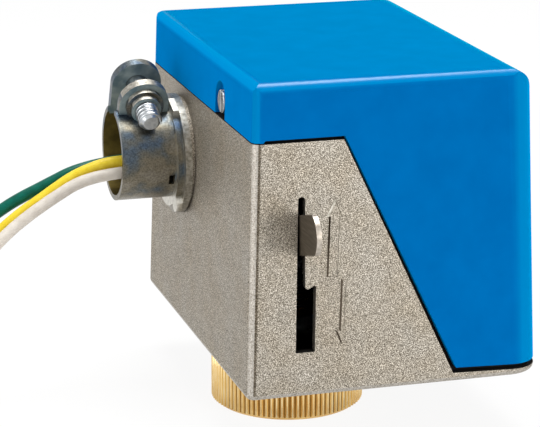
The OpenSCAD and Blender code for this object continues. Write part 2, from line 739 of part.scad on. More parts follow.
// Compression spring: one unbroken tube, with its least gap to itself printed
spring_r = stem_r + 1.8 + 0.4 + spring_wire / 2;
spring_rings = 8;
spring_steps = spring_turns * spring_rings;
spring_low = neck_top_z + spring_wire / 2 + 0.05;
spring_rise = spring_len - spring_wire - 0.1;
function spring_point(i) =
    [spring_r * cos(360 * i / spring_rings), spring_r * sin(360 * i / spring_rings),
     spring_low + spring_rise * i / spring_steps];
spring_route = [for (i = [0 : spring_steps]) spring_point(i)];
spring_self_gap = min([for (i = [0 : spring_steps], j = [0 : spring_steps])
    if (j - i >= spring_rings / 2) norm(spring_route[i] - spring_route[j]) - spring_wire]);
echo(spring_self_gap_mm = spring_self_gap);

module plunger_spring() {
    color(spring_steel) swept_tube(spring_route, spring_wire / 2, 6, [0, 0, 1]);
}

module drive_lever() {
    low = idler_angle - sector_span_low;
    high = idler_angle + sector_span_high;
    pitch = 360 / sector_teeth;
    first = -floor(sector_span_low / pitch);
    last = floor(sector_span_high / pitch);
    root = sector_r - tooth_ded * sector_m;
    color(steel) difference() {
        union() {
            yz_plate(lever_x, lever_t) translate([shaft_y, shaft_z]) {
                circle(shaft_r + 4);
                // Web and teeth of the sector
                polygon(concat(
                    [[0, 0]],
                    [for (i = [first : last]) each tooth(sector_m, sector_teeth, idler_angle + i * pitch)]
                ));
                // Hand lever with a rounded end
                rotate(lever_dir) {
                    polygon(concat(
                        [[0, -shaft_r - 2.8], [lever_len * 0.55, -lever_h / 2]],
                        arc([lever_len - lever_h * 0.57, 0], lever_h * 0.57, -61, 61, 12),
                        [[lever_len * 0.55, lever_h / 2], [0, shaft_r + 2.8]]
                    ));
                }
            }
            rod_x(lever_x - 1.6, lever_t + 3, shaft_r + 2, shaft_y, shaft_z);
        }
        rod_x(lever_x - 5, 12, shaft_r, shaft_y, shaft_z);
    }
}

shaft_x0 = gear_plate_x;
shaft_x1 = motor_x - 0.3;

module lever_shaft() {
    color(steel) rod_x(shaft_x0, shaft_x1 - shaft_x0, shaft_r, shaft_y, shaft_z);
}

// Flanged bushes that carry the lever shaft in both plates, and the motor shaft
module flanged_bush(x0, len, r, flange_at, y, z) {
    difference() {
        union() {
            rod_x(x0, len, r + 1.2, y, z);
            rod_x(flange_at, 0.8, r + 2.2, y, z);
        }
        rod_x(x0 - 1, len + 2, r + run_fit, y, z);
    }
}

module shaft_bushes() {
    color(brass) {
        flanged_bush(gear_plate_x, gear_plate_t + 0.8, shaft_r, plate_in_x, shaft_y, shaft_z);
        flanged_bush(motor_plate_x - 0.8, motor_plate_t + 0.8, shaft_r,
                     motor_plate_x - 0.8, shaft_y, shaft_z);
        flanged_bush(motor_plate_x - 0.8, motor_plate_t + 0.8, motor_shaft_r,
                     motor_plate_x - 0.8, motor_y, motor_z);
    }
}

// Spring clips on the lever shaft, inside both plates
module shaft_clips() {
    clip_t = 0.6;
    color(spring_steel)
        for (x = [plate_in_x + 0.9, motor_plate_x - 0.9 - clip_t])
            yz_plate(x, clip_t) translate([shaft_y, shaft_z]) difference() {
                circle(shaft_r + 1.6);
                circle(shaft_r);
                translate([0, -shaft_r - 2]) square([2 * shaft_r - 1.6, 8], center = true);
            }
}

arm_w = roller_w + 4;
cheek_gap = roller_w + 0.6;
pin_r = 1.2;

module roller_arm() {
    pin = [0, roller_z];
    hub = [shaft_y, shaft_z];
    color(steel) difference() {
        union() {
            yz_plate(-arm_w / 2, arm_w) translate(hub) circle(shaft_r + 1.2);
            for (x = [-arm_w / 2, cheek_gap / 2])
                yz_plate(x, (arm_w - cheek_gap) / 2) {
                    bar_2d(hub, pin, pin_r + 0.5);
                    translate(pin) circle(pin_r + 0.7);
                }
        }
        rod_x(-arm_w, 2 * arm_w, shaft_r, shaft_y, shaft_z);
        rod_x(-arm_w, 2 * arm_w, pin_r, 0, roller_z);
    }
}

module roller_pin() {
    color(steel) rod_x(-arm_w / 2, arm_w, pin_r, 0, roller_z);
}

module cam_roller() {
    color(brass) difference() {
        rod_x(-roller_w / 2, roller_w, roller_r, 0, roller_z);
        rod_x(-roller_w, 2 * roller_w, pin_r + run_fit, 0, roller_z);
    }
}

module idler_gear() {
    color(nylon) difference() {
        union() {
            yz_plate(pinion_x, wheel_x - pinion_x) translate([idler_y, idler_z])
                gear_2d(sector_m, idler_pinion_teeth, idler_angle + 180 - 180 / idler_pinion_teeth);
            yz_plate(wheel_x, wheel_t) translate([idler_y, idler_z]) difference() {
                gear_2d(wheel_m, wheel_teeth, motor_angle);
                for (a = [0 : 72 : 288]) rotate(a) translate([wheel_r * 0.62, 0]) circle(wheel_r * 0.17);
            }
            rod_x(wheel_x, motor_plate_x - 0.4 - wheel_x, arbor_r + 1.4, idler_y, idler_z);
        }
        rod_x(pinion_x - 1, 40, arbor_r + run_fit, idler_y, idler_z);
    }
}

module idler_arbor() {
    color(steel) rod_x(gear_plate_x, motor_x - gear_plate_x, arbor_r, idler_y, idler_z);
}

pinion_end_x = wheel_x - 0.8;

module motor_pinion() {
    color(brass) difference() {
        yz_plate(pinion_end_x, wheel_t + 1.6) translate([motor_y, motor_z])
            gear_2d(wheel_m, motor_pinion_teeth, motor_angle + 180 - 180 / motor_pinion_teeth);
        rod_x(pinion_end_x - 1, wheel_t + 4, motor_shaft_r, motor_y, motor_z);
    }
}

module motor_shaft() {
    color(steel)
        rod_x(pinion_end_x, motor_x + motor_len - 1.5 - pinion_end_x, motor_shaft_r, motor_y, motor_z);
}

rotor_x = motor_x + 0.16 * motor_len;
rotor_len = 0.64 * motor_len;
rotor_r = motor_r * 0.42;
magnet_t = 2.4;

// Ring magnet on a thin web and hub
module motor_rotor() {
    web_t = 2;
    color(black) difference() {
        rod_x(rotor_x, rotor_len, rotor_r, motor_y, motor_z);
        difference() {
            rod_x(rotor_x + web_t, rotor_len, rotor_r - magnet_t, motor_y, motor_z);
            rod_x(rotor_x, rotor_len - 4, motor_shaft_r + 1.5, motor_y, motor_z);
        }
        rod_x(rotor_x - 1, rotor_len + 2, motor_shaft_r, motor_y, motor_z);
    }
}

// Coil on its bobbin, held between the plate and the bottom of the can
module motor_coil() {
    inner = rotor_r + 0.6;
    outer = motor_r - can_t - 0.2;
    color(copper) difference() {
        union() {
            rod_x(motor_x, motor_len - can_t, inner + 1.2, motor_y, motor_z);
            rod_x(motor_x, 1.2, outer, motor_y, motor_z);
            rod_x(motor_x + motor_len - can_t - 1.2, 1.2, outer, motor_y, motor_z);
            rod_x(motor_x, motor_len - can_t, outer - 2, motor_y, motor_z);
        }
        rod_x(motor_x - 1, motor_len + 2, inner, motor_y, motor_z);
    }
}

module motor_can() {
    color(zinc) difference() {
        union() {
            rod_x(motor_x, motor_len, motor_r, motor_y, motor_z);
            yz_plate(motor_x, ear_t)
                for (p = motor_ears) {
                    bar_2d([motor_y, motor_z], p, screw_head_r + 0.4);
                    translate(p) circle(screw_head_r + 0.9);
                }
        }
        rod_x(motor_x - 1, motor_len - can_t + 1, motor_r - can_t, motor_y, motor_z);
        for (p = motor_ears) rod_x(motor_x - 1, 4, screw_r + hole_fit, p[0], p[1]);
    }
}

// Screw along X: its head seats at x, and the shank runs on by len toward dir
module screw_x(x, len, y, z, dir) {
    rod_x(dir > 0 ? x - screw_head_h : x, screw_head_h, screw_head_r, y, z);
    rod_x(dir > 0 ? x - eps : x - len, len + eps, screw_r, y, z);
}

module motor_screws() {
    color(steel) for (p = motor_ears) screw_x(motor_x + ear_t, motor_plate_t + ear_t + 1.2, p[0], p[1], -1);
}

module gear_plate() {
    hub = [shaft_y, shaft_z];
    arbor = [idler_y, idler_z];
    color(zinc) difference() {
        yz_plate(gear_plate_x, gear_plate_t) {
            translate(hub) circle(shaft_r + 4);
            translate(arbor) circle(arbor_r + 2.6);
            for (p = posts) translate(p) circle(post_r + plate_rim);
            bar_2d(hub, arbor, arbor_r + 2);
            bar_2d(arbor, post_high, arbor_r + 1.6);
            bar_2d(hub, post_low_back, post_r + 1);
            bar_2d(hub, post_low_front, post_r + 1);
        }
        rod_x(gear_plate_x - 1, 4, shaft_r + 1.2, shaft_y, shaft_z);
        rod_x(gear_plate_x - 1, 4, arbor_r, idler_y, idler_z);
        for (p = posts) rod_x(gear_plate_x - 1, 4, screw_r + hole_fit, p[0], p[1]);
    }
}

// Plate that carries the motor, with two feet bent over onto the base bosses
module motor_plate() {
    foot_z = plate_z + foot_boss_h;
    low = max(foot_z, motor_z - motor_r);
    high = post_high[1] + post_r + 2;
    ear_y0 = motor_y + motor_ear_r * cos(motor_ear_angle) + 4;
    side_y0 = idler_y - wheel_r;
    side_y1 = max(idler_y + wheel_r + 1.5, post_high[0] + post_r + plate_rim);
    color(zinc) difference() {
        union() {
            yz_plate(motor_plate_x, motor_plate_t) difference() {
                union() {
                    translate([foot_ys[0] - foot_w / 2, low])
                        square([ear_y0 - foot_ys[0] + foot_w / 2, motor_z - low + 16]);
                    translate([side_y0, low]) square([side_y1 - side_y0, high - low]);
                    for (y = foot_ys) translate([y - foot_w / 2, foot_z]) square([foot_w, 14]);
                }
                // Corners cut away in front of the idler and above the motor
                translate([foot_ys[0] - foot_w / 2 - eps, motor_z + 4]) square([7, 20]);
            }
            for (y = foot_ys)
                translate([motor_plate_x, y - foot_w / 2, foot_z])
                    cube([motor_plate_t + foot_len, foot_w, foot_t]);
        }
        rod_x(motor_plate_x - 1, 4, shaft_r + 1.2, shaft_y, shaft_z);
        rod_x(motor_plate_x - 1, 4, motor_shaft_r + 1.2, motor_y, motor_z);
        rod_x(motor_plate_x - 1, 4, arbor_r, idler_y, idler_z);
        for (p = posts) rod_x(motor_plate_x - 1, 4, screw_r + hole_fit, p[0], p[1]);
        for (p = motor_ears) rod_x(motor_plate_x - 1, 4, screw_r + hole_fit, p[0], p[1]);
        for (y = foot_ys)
            translate([foot_x, y, foot_z - 1]) cylinder(h = 4, r = screw_r + hole_fit);
    }
}

module plate_posts() {
    color(steel) for (p = posts) difference() {
        rod_x(plate_in_x, post_len, post_r, p[0], p[1]);
        for (x = [plate_in_x - 1, motor_plate_x - 4.2])
            rod_x(x, 5.2, screw_r + hole_fit, p[0], p[1]);
    }
}

module plate_screws() {
    color(steel) for (p = posts) {
        screw_x(gear_plate_x, gear_plate_t + 3.4, p[0], p[1], 1);
        screw_x(motor_x, motor_plate_t + 3.4, p[0], p[1], -1);
    }
}

module foot_screws() {
    z = plate_z + foot_boss_h + foot_t;
    color(steel) for (y = foot_ys) translate([foot_x, y, 0]) {
        translate([0, 0, z]) cylinder(h = screw_head_h, r = screw_head_r);
        translate([0, 0, plate_z]) cylinder(h = z - plate_z + eps, r = screw_r);
    }
}

// Flange with its collar, the nipple behind it and two lugs that hold the strap
module connector_flange() {
    lug_r = 2.1;
    lug_at = flange_r - 1.2;
    collar_r = strap_r + 1.2;
    color(zinc) difference() {
        union() {
            rod_x(collar_x, flange_t, flange_r, conn_y, conn_z);
            rod_x(strap_x, collar_len + eps, collar_r, conn_y, conn_z);
            rod_x(seat_out_x - eps, nipple_end_x - seat_out_x, nipple_r, conn_y, conn_z);
            rod_x(strap_x, collar_len + eps, lug_r,
                  conn_y + lug_at * cos(low_lug_angle), conn_z + lug_at * sin(low_lug_angle));
            translate([0, conn_y, conn_z]) rotate([high_lug_angle, 0, 0])
                translate([strap_x, collar_r - 0.6, -2.5])
                    cube([collar_len + eps, flange_r - collar_r + 0.6, 5]);
        }
        rod_x(collar_x - 6, 20, passage_r, conn_y, conn_z);
    }
}

// Children placed on the sloping axis of the clamp screw, which becomes their Z axis, toward the far ear.
// Their Y axis falls along the ears.
module on_clamp_axis() {
    translate([ear_x, conn_y + near_ear[0], strap_z + near_ear[1]])
        rotate([clamp_slope - 90, 0, 0]) children();
}

// One ear with a rounded end, its leg running down by len into the strap
module clamp_ear(z, len) {
    translate([0, 0, z - clamp_ear_t / 2]) linear_extrude(clamp_ear_t) {
        difference() {
            circle(ear_w / 2);
            translate([-ear_w, 0]) square(2 * ear_w);
        }
        translate([-ear_w / 2, -eps]) square([ear_w, len + eps]);
    }
}

// Strap bent round the cable passage, open between its two ears
module connector_strap() {
    inner = strap_r - strap_t;
    face = -clamp_ear_t / 2;
    color(zinc) difference() {
        union() {
            difference() {
                rod_x(mouth_x, strap_len, strap_r, conn_y, strap_z);
                rod_x(mouth_x - 1, strap_len + 2, inner, conn_y, strap_z);
                on_clamp_axis() translate([-strap_len, -strap_r, clamp_ear_t / 2])
                    cube([2 * strap_len, strap_r + ear_cut, ear_gap]);
            }
            on_clamp_axis() {
                clamp_ear(0, near_leg);
                clamp_ear(ear_step, far_leg);
                // Stepped collar drawn out of the near ear for the thread
                translate([0, 0, face - 1.2]) cylinder(h = 1.3, r = clamp_screw_r + 1.9);
                translate([0, 0, face - 2.4]) cylinder(h = 1.3, r = clamp_screw_r + 1);
            }
        }
        on_clamp_axis() translate([0, 0, -10]) cylinder(h = 30, r = clamp_screw_r + hole_fit);
        // Window beside the flange
        translate([strap_x - 1.7, conn_y - strap_r - 1, conn_z - 5]) cube([1.4, 6, 2.6]);
    }
}

module clamp_screw() {
    tip = -8.4;
    seat = ear_step + clamp_ear_t / 2;
    color(steel) on_clamp_axis() difference() {
        rotate_extrude()
            polygon([
                [0, tip], [clamp_screw_r - 0.8, tip], [clamp_screw_r, tip + 0.9], [clamp_screw_r, seat],
                [clamp_screw_r + 1.4, seat], [clamp_screw_r + 1.4, seat + 2.4],
                [clamp_screw_r + 0.8, seat + 3],
                [0, seat + 3]
            ]);
        translate([-6, -0.6, seat + 1.8]) cube([12, 1.2, 2]);
    }
}

module connector_locknut() {
    lobes = 6;
    rim = locknut_r - 1;
    color(zinc) yz_plate(seat_in_x, locknut_t) translate([conn_y, conn_z]) difference() {
        union() {
            circle(rim);
            for (i = [0 : lobes - 1]) rotate(i * 360 / lobes)
                translate([rim - 1, -1.8]) square([locknut_r - rim + 1, 3.6]);
        }
        circle(nipple_r + hole_fit);
    }
}

// Plastic terminal moulding on the motor plate, with a socket for each wire
module terminal_block() {
    color(black) difference() {
        union() {
            translate([block_x, block_y, block_z]) cube([block_len, block_w, block_h]);
            translate([block_x + block_len - eps, block_y, block_leg_z])
                cube([motor_plate_x - block_x - block_len + eps, block_w, block_z + block_h - block_leg_z]);
        }
        for (p = [route_green[0], route_yellow[0], route_white[0]])
            rod_x(block_x - 1, socket_depth + 1, wire_d / 2 + hole_fit, p[1], p[2]);
    }
}

module wire_green() { color(green) swept_tube(route_green, wire_d / 2, wire_sides, [0, 1, 0]); }
module wire_yellow() { color(yellow) swept_tube(route_yellow, wire_d / 2, wire_sides, [0, 1, 0]); }
module wire_white() { color(cream) swept_tube(route_white, wire_d / 2, wire_sides, [0, 1, 0]); }

base_casting();
cover();
cover_screw();
union_nut();
neck_bush();
neck_lock_ring();
plunger();
plunger_spring();
drive_lever();
lever_shaft();
shaft_bushes();
shaft_clips();
roller_arm();
roller_pin();
cam_roller();
idler_gear();
idler_arbor();
motor_pinion();
motor_shaft();
motor_rotor();
motor_coil();
motor_can();
motor_screws();
gear_plate();
motor_plate();
plate_posts();
plate_screws();
foot_screws();
connector_flange();
connector_strap();
clamp_screw();
connector_locknut();
terminal_block();
wire_green();
wire_yellow();
wire_white();
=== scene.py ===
# %% [markdown]
# Motorised actuator head, dressed for rendering.
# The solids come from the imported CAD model, already in metres and already in place.
# This lesson gives them finishes, adds the small things that a CAD model leaves out,
# and sets up a camera and soft light like a catalogue picture.

# %% Load the solids
import math

import bmesh
import bpy
from mathutils import Matrix, Vector


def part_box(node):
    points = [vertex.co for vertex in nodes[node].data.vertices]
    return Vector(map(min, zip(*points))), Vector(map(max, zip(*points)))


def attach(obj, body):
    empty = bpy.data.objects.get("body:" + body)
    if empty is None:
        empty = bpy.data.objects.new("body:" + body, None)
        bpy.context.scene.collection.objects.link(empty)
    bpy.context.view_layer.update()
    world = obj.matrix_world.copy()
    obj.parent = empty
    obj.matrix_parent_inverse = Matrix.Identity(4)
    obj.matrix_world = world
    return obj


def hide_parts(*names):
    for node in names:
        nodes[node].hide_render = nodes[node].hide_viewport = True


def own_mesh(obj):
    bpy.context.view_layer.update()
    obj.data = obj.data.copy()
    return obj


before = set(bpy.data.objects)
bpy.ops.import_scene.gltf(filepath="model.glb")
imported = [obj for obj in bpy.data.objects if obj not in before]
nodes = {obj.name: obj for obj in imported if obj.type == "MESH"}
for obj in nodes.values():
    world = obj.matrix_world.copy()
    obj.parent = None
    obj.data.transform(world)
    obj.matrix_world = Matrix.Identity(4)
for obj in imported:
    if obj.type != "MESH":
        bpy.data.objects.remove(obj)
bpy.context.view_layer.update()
MM = 0.001

# %% [markdown]
# The camera stands to the left of the slotted face and a little above it, with a long lens.
# A long lens keeps the upright edges nearly parallel, as on a catalogue picture.
# Its place could be tried by hand. Here it comes from fitting the housing's corners,
# so it is written as a point, three angles in radians and a focal length in mm.

# %% Camera
CAMERA_AT = Vector((-153.05, -499.76, 183.74)) * MM
CAMERA_YAW = 0.2892
CAMERA_PITCH = 0.2771
CAMERA_ROLL = 0.0036
LENS = 154.49
SENSOR_WIDTH = 36

forward = Vector((
    math.sin(CAMERA_YAW) * math.cos(CAMERA_PITCH),
    math.cos(CAMERA_YAW) * math.cos(CAMERA_PITCH),
    -math.sin(CAMERA_PITCH),
))
level_right = Vector((math.cos(CAMERA_YAW), -math.sin(CAMERA_YAW), 0))
level_up = level_right.cross(forward)
right = level_right * math.cos(CAMERA_ROLL) + level_up * math.sin(CAMERA_ROLL)
up = level_up * math.cos(CAMERA_ROLL) - level_right * math.sin(CAMERA_ROLL)

camera = bpy.data.objects.new("camera", bpy.data.cameras.new("camera"))
camera.data.lens = LENS
camera.data.sensor_width = SENSOR_WIDTH
camera.data.sensor_fit = "HORIZONTAL"
camera.data.clip_start = 10 * MM
camera.matrix_world = Matrix((right, up, -forward)).transposed().to_4x4()
camera.matrix_world.translation = CAMERA_AT
bpy.context.scene.collection.objects.link(camera)
bpy.context.scene.camera = camera
print("camera at", [round(c / MM) for c in CAMERA_AT], "mm, lens", LENS, "mm")

# %% [markdown]
# Three insulated leads come out of the connector, bend down and lie on the table.
# A lead is a curve with a round section: easy to change and smooth at any distance.
# The points follow the CAD tubes to within a millimetre, from the terminal block to the end.
# The last few millimetres are stripped, so the insulation stops short of the CAD tube's end.
# All sizes of the leads are in mm.

# %% Routes of the leads
WIRE_D = 2.8
STRIPPED = 7
ROUTES = {
    "yellow": [
        (-12.6, 12.7, 47.4), (-17.1, 12.7, 47.4), (-24.1, 13, 47.3), (-31.1, 13.2, 47.2),
        (-36.1, 13.2, 47.1), (-40.6, 13.2, 46.7), (-44.6, 13.2, 45.6), (-48.6, 13.3, 43.9),
        (-52.1, 13.3, 41.8), (-56.1, 13.3, 39.2), (-60.3, 13.3, 36.5), (-64.3, 13.3, 33.5),
        (-68.3, 13.3, 29.9), (-72.1, 13.3, 25.9), (-75.6, 13.3, 21.8), (-78.9, 13.2, 17.2),
        (-81.9, 13.1, 12.5), (-84.9, 13.2, 7.4), (-88.1, 13.3, 2.2), (-91.7, 13.5, -2.3),
        (-95.9, 13.7, -5.8), (-100.9, 13.9, -7.9), (-106.6, 14.1, -8.5), (-113.1, 14.3, -8.5),
        (-120.1, 14.5, -8.5),
    ],
    "white": [
        (-12.6, 12.3, 43.8), (-17.1, 12.3, 43.8), (-24.1, 11.7, 44.4), (-31.1, 11.1, 44.9),
        (-36.1, 10.8, 45), (-40.6, 10.6, 44.7), (-44.6, 10.5, 44.1), (-48.6, 10.5, 42.8),
        (-52.1, 10.5, 40.9), (-56.1, 10.5, 38.5), (-60.3, 10.5, 35.7), (-64.4, 10.5, 32.5),
        (-68.1, 10.4, 29), (-71.5, 10.4, 25), (-74.6, 10.4, 20.5), (-77.4, 10.4, 15.4),
        (-80, 10.4, 10.2), (-82.7, 10.2, 5), (-85.9, 10, 0.2), (-89.7, 9.8, -3.9),
        (-94.3, 9.6, -6.9), (-99.7, 9.4, -8.4), (-105.6, 9.2, -8.5), (-112.1, 9, -8.5),
        (-118.6, 8.8, -8.5),
    ],
    "green": [
        (-12.6, 16.1, 46.8), (-17.1, 16.1, 46.8), (-24.1, 16.5, 46.6), (-31.1, 16.7, 46.5),
        (-36.1, 16.7, 46.4), (-40.6, 16.7, 45.9), (-44.6, 16.7, 45.2), (-48.6, 16.7, 44.1),
        (-52.1, 16.7, 42.6), (-56.1, 16.7, 40.8), (-60.1, 16.7, 39), (-64.1, 16.8, 36.8),
        (-68.3, 16.9, 33.9), (-72.5, 17, 30.2), (-76.5, 17, 25.6), (-80.1, 16.9, 20.2),
        (-83.3, 16.8, 14.5), (-86.5, 16.8, 8.9), (-89.9, 17, 3.4), (-93.7, 17.2, -1.5),
        (-98.1, 17.4, -5.4), (-103.3, 17.6, -7.8), (-109.3, 17.8, -8.5), (-116.1, 18, -8.5),
        (-123.1, 18.2, -8.5),
    ],
}

# %% Insulation of the leads
leads = {}
tips = {}
for colour, route in ROUTES.items():
    points = [Vector(p) * MM for p in route]
    tips[colour] = points[-1].copy()
    points[-1] += (points[-2] - points[-1]).normalized() * STRIPPED * MM
    curve = bpy.data.curves.new("lead_" + colour, "CURVE")
    curve.dimensions = "3D"
    curve.bevel_depth = WIRE_D / 2 * MM
    curve.bevel_resolution = 6
    curve.resolution_u = 8
    curve.use_fill_caps = True
    spline = curve.splines.new("BEZIER")
    spline.bezier_points.add(len(points) - 1)
    for knot, point in zip(spline.bezier_points, points):
        knot.co = point
        knot.handle_left_type = "AUTO"
        knot.handle_right_type = "AUTO"
    lead = bpy.data.objects.new("lead_" + colour, curve)
    bpy.context.scene.collection.objects.link(lead)
    leads[colour] = lead
    print(lead.name, round(spline.calc_length() / MM, 1), "mm of insulation")

# %% [markdown]
# Every finish below is a small tree of shader nodes, and every repeated shape a tree of geometry nodes.
# Both kinds of tree are made of nodes with settings, values and links, so one helper serves both.
# Colours are written as they are seen on a screen, and Blender wants them linear.

# %% Helpers for node trees
def linear(code):
    """Colour of a screen code such as '#0B6FB8', in linear light."""
    channels = [int(code[i:i + 2], 16) / 255 for i in (1, 3, 5)]
    return tuple(c / 12.92 if c <= 0.04045 else ((c + 0.055) / 1.055) ** 2.4 for c in channels) + (1.0,)


def add(tree, kind, inputs=None, stops=(), **settings):
    """Add a node: settings are its properties, inputs are values or sockets by name or number.
    The stops of a colour ramp are pairs of place and screen code."""
    node = tree.nodes.new(kind)
    for name, value in settings.items():
        setattr(node, name, value)
    for key, value in (inputs or {}).items():
        if isinstance(value, bpy.types.NodeSocket):
            tree.links.new(value, node.inputs[key])
        else:
            node.inputs[key].default_value = value
    while stops and len(node.color_ramp.elements) < len(stops):
        node.color_ramp.elements.new(0.5)
    for i, (position, code) in enumerate(stops):
        node.color_ramp.elements[i].position = position
        node.color_ramp.elements[i].color = linear(code)
    return node


def finish_tree(name, **constants):
    """A new material with its tree, its surface shader and the place on the piece in metres."""
    material = bpy.data.materials.new(name)
    material.use_nodes = True
    tree = material.node_tree
    tree.nodes.clear()
    shader = add(tree, "ShaderNodeBsdfPrincipled", {k.replace("_", " "): v for k, v in constants.items()})
    add(tree, "ShaderNodeOutputMaterial", {"Surface": shader.outputs[0]})
    place = add(tree, "ShaderNodeTexCoord").outputs["Object"]
    return material, tree, shader, place


def per_mm(size):
    """Texture scale that gives features of this size in mm."""
    return 1 / (size * MM)


print("white is", [round(c, 3) for c in linear("#FFFFFF")])

# %% [markdown]
# The base is a zinc die casting, shot-blasted to an even fine grain.
# To the eye it is a matt warm grey metal that sparkles a little, lighter where a lamp strikes it.
# The real grit is about 0.2 mm. It is drawn at 0.22 mm, because finer grain vanishes in the picture.
# The noise stands askew, so that its lattice doesn't line up with a wall and show as stripes.
# A shallow groove runs along the left corner, a millimetre and a half in. It is not modelled: its shade is
# painted as a darker line.
# Inside and in the narrow gaps the casting gets a second, dark finish: painted shade.
# Sockets 0, 6 and 7 of a Mix node are its share and its two colours, and the mixed colour leaves at 2.

# %% Shot-blasted casting
cast, tree, shader, place = finish_tree("shot_blasted_zinc_casting", Metallic=1.0)
askew = add(tree, "ShaderNodeMapping", {"Vector": place, "Rotation": (0.7, 0.4, 0.5)})
grit = add(tree, "ShaderNodeTexNoise",
           {"Vector": askew.outputs[0], "Scale": per_mm(0.22), "Detail": 1.0, "Roughness": 0.6})
cloud = add(tree, "ShaderNodeTexNoise", {"Vector": place, "Scale": per_mm(9), "Detail": 3.0})
speckle = add(tree, "ShaderNodeValToRGB", {"Fac": grit.outputs["Fac"]},
              [(0.30, "#544D44"), (0.5, "#928C81"), (0.70, "#D6CFC4")])
tint = add(tree, "ShaderNodeValToRGB", {"Fac": cloud.outputs["Fac"]},
           [(0.3, "#F6F1E9"), (0.7, "#FFFFFF")])
mixed = add(tree, "ShaderNodeMix", {0: 1.0, 6: speckle.outputs[0], 7: tint.outputs[0]},
            data_type="RGBA", blend_type="MULTIPLY")
rough = add(tree, "ShaderNodeMapRange", {"Value": grit.outputs["Fac"], "To Min": 0.62, "To Max": 0.46})
tree.links.new(rough.outputs[0], shader.inputs["Roughness"])
bump = add(tree, "ShaderNodeBump", {"Height": grit.outputs["Fac"], "Strength": 0.7, "Distance": 0.1 * MM})
tree.links.new(bump.outputs[0], shader.inputs["Normal"])
print(cast.name)

# %% Painted shade of the groove along the left corner
# In mm: the left wall at its foot, the height of that foot, and how far in the groove ends.
# LEAN is the slope of the left, front and back walls.
LEFT, FOOT = -22.8, 6.7
LEAN = 1.9 / 70
GROOVE_REACH = 2.4
parts = add(tree, "ShaderNodeSeparateXYZ", {"Vector": place})
inward = add(tree, "ShaderNodeMath", {0: parts.outputs["Z"], 1: -LEAN, 2: parts.outputs["X"]},
             operation="MULTIPLY_ADD")
corner = (LEFT - LEAN * FOOT) * MM
inward = add(tree, "ShaderNodeMapRange", {
    "Value": inward.outputs[0], "From Min": corner, "From Max": corner + GROOVE_REACH * MM})
# A darker band along the corner: painted shade of the groove.
painted_groove_shade = add(tree, "ShaderNodeValToRGB", {"Fac": inward.outputs[0]},
             [(0.46, "#FFFFFF"), (0.58, "#ABA59D"), (0.68, "#ABA59D"), (0.82, "#FFFFFF")])
mixed = add(tree, "ShaderNodeMix", {0: 1.0, 6: mixed.outputs[2], 7: painted_groove_shade.outputs[0]},
            data_type="RGBA", blend_type="MULTIPLY")
tree.links.new(mixed.outputs[2], shader.inputs["Base Color"])
print(cast.name, "has", len(tree.nodes), "nodes")

# %% Painted shade in the gaps of the casting
def patchy_finish(name, dark, light, size, spread=0.2, detail=2.0, gloss=None, dent=0.0, **constants):
    """Finish in patches of this size in mm, from a dark to a light colour. A smaller spread sets them off
    more clearly. The patches can also run between two roughnesses, gloss, and stand out by a bump, dent."""
    material, tree, shader, place = finish_tree(name, **constants)
    patch = add(tree, "ShaderNodeTexNoise", {"Vector": place, "Scale": per_mm(size), "Detail": detail})
    patch = patch.outputs["Fac"]
    colour = add(tree, "ShaderNodeValToRGB", {"Fac": patch}, [(0.5 - spread, dark), (0.5 + spread, light)])
    tree.links.new(colour.outputs[0], shader.inputs["Base Color"])
    if gloss:
        rough = add(tree, "ShaderNodeMapRange", {"Value": patch, "To Min": gloss[0], "To Max": gloss[1]})
        tree.links.new(rough.outputs[0], shader.inputs["Roughness"])
    if dent:
        bump = add(tree, "ShaderNodeBump", {"Height": patch, "Strength": dent, "Distance": 0.1 * MM})
        tree.links.new(bump.outputs[0], shader.inputs["Normal"])
    print(material.name)
    return material


# Dark finish for the inside and the gaps: painted shade.
painted_gap_shade = patchy_finish("bare_casting_in_gaps", "#171614", "#201E1C", 1.5,
                     Roughness=0.9, Specular_IOR_Level=0.1)

# %% [markdown]
# The cover is moulded in blue ABS with a fine satin texture from its tool.
# Such a texture breaks up the mirror image, so the plain reflection is off.
# What stays is a sheen where a face is seen at a low angle: blue-green on top, bluer on the sides.
# The change of sheen from top to sides is painted light.
# A point lies on a rounded edge when the largest part of its normal is less than FLAT.
# The rounded edges are painted a lighter blue, a painted highlight.
# The upper half of those between the top and the two ends also has a clear shine.

# %% Shine and sheen of the cover
FLAT = 0.998
blue, tree, shader, place = finish_tree(
    "moulded_blue_abs", IOR=1.5, Specular_IOR_Level=0.0, Coat_Roughness=0.24, Sheen_Roughness=0.35)
normal = add(tree, "ShaderNodeTexCoord").outputs["Normal"]
size = add(tree, "ShaderNodeVectorMath", {0: normal}, operation="ABSOLUTE")
size = add(tree, "ShaderNodeSeparateXYZ", {"Vector": size.outputs[0]})
largest = add(tree, "ShaderNodeMath", {0: size.outputs["X"], 1: size.outputs["Y"]}, operation="MAXIMUM")
largest = add(tree, "ShaderNodeMath", {0: largest.outputs[0], 1: size.outputs["Z"]}, operation="MAXIMUM")
shine = add(tree, "ShaderNodeMapRange", {
    "Value": largest.outputs[0], "From Min": FLAT, "From Max": 0.96, "To Min": 0.02, "To Max": 0.75})
for part, least, full in ("Y", 0.05, 0.3), ("Z", 0.55, 0.8):
    leans = add(tree, "ShaderNodeMapRange", {
        "Value": size.outputs[part], "From Min": least, "From Max": full})
    shine = add(tree, "ShaderNodeMath", {0: shine.outputs[0], 1: leans.outputs[0]}, operation="MULTIPLY")
tree.links.new(shine.outputs[0], shader.inputs["Coat Weight"])
# Sheen weight and tint change from top to sides: painted light.
side = add(tree, "ShaderNodeMapRange", {"Value": size.outputs["X"], "From Min": 0.4, "From Max": 0.9})
weight = add(tree, "ShaderNodeMapRange", {"Value": side.outputs[0], "To Min": 0.5, "To Max": 1.0})
tree.links.new(weight.outputs[0], shader.inputs["Sheen Weight"])
painted_side_tint = add(tree, "ShaderNodeValToRGB", {"Fac": side.outputs[0]}, [(0.0, "#00BEA2"), (1.0, "#0099DF")])
tree.links.new(painted_side_tint.outputs[0], shader.inputs["Sheen Tint"])
print(blue.name)

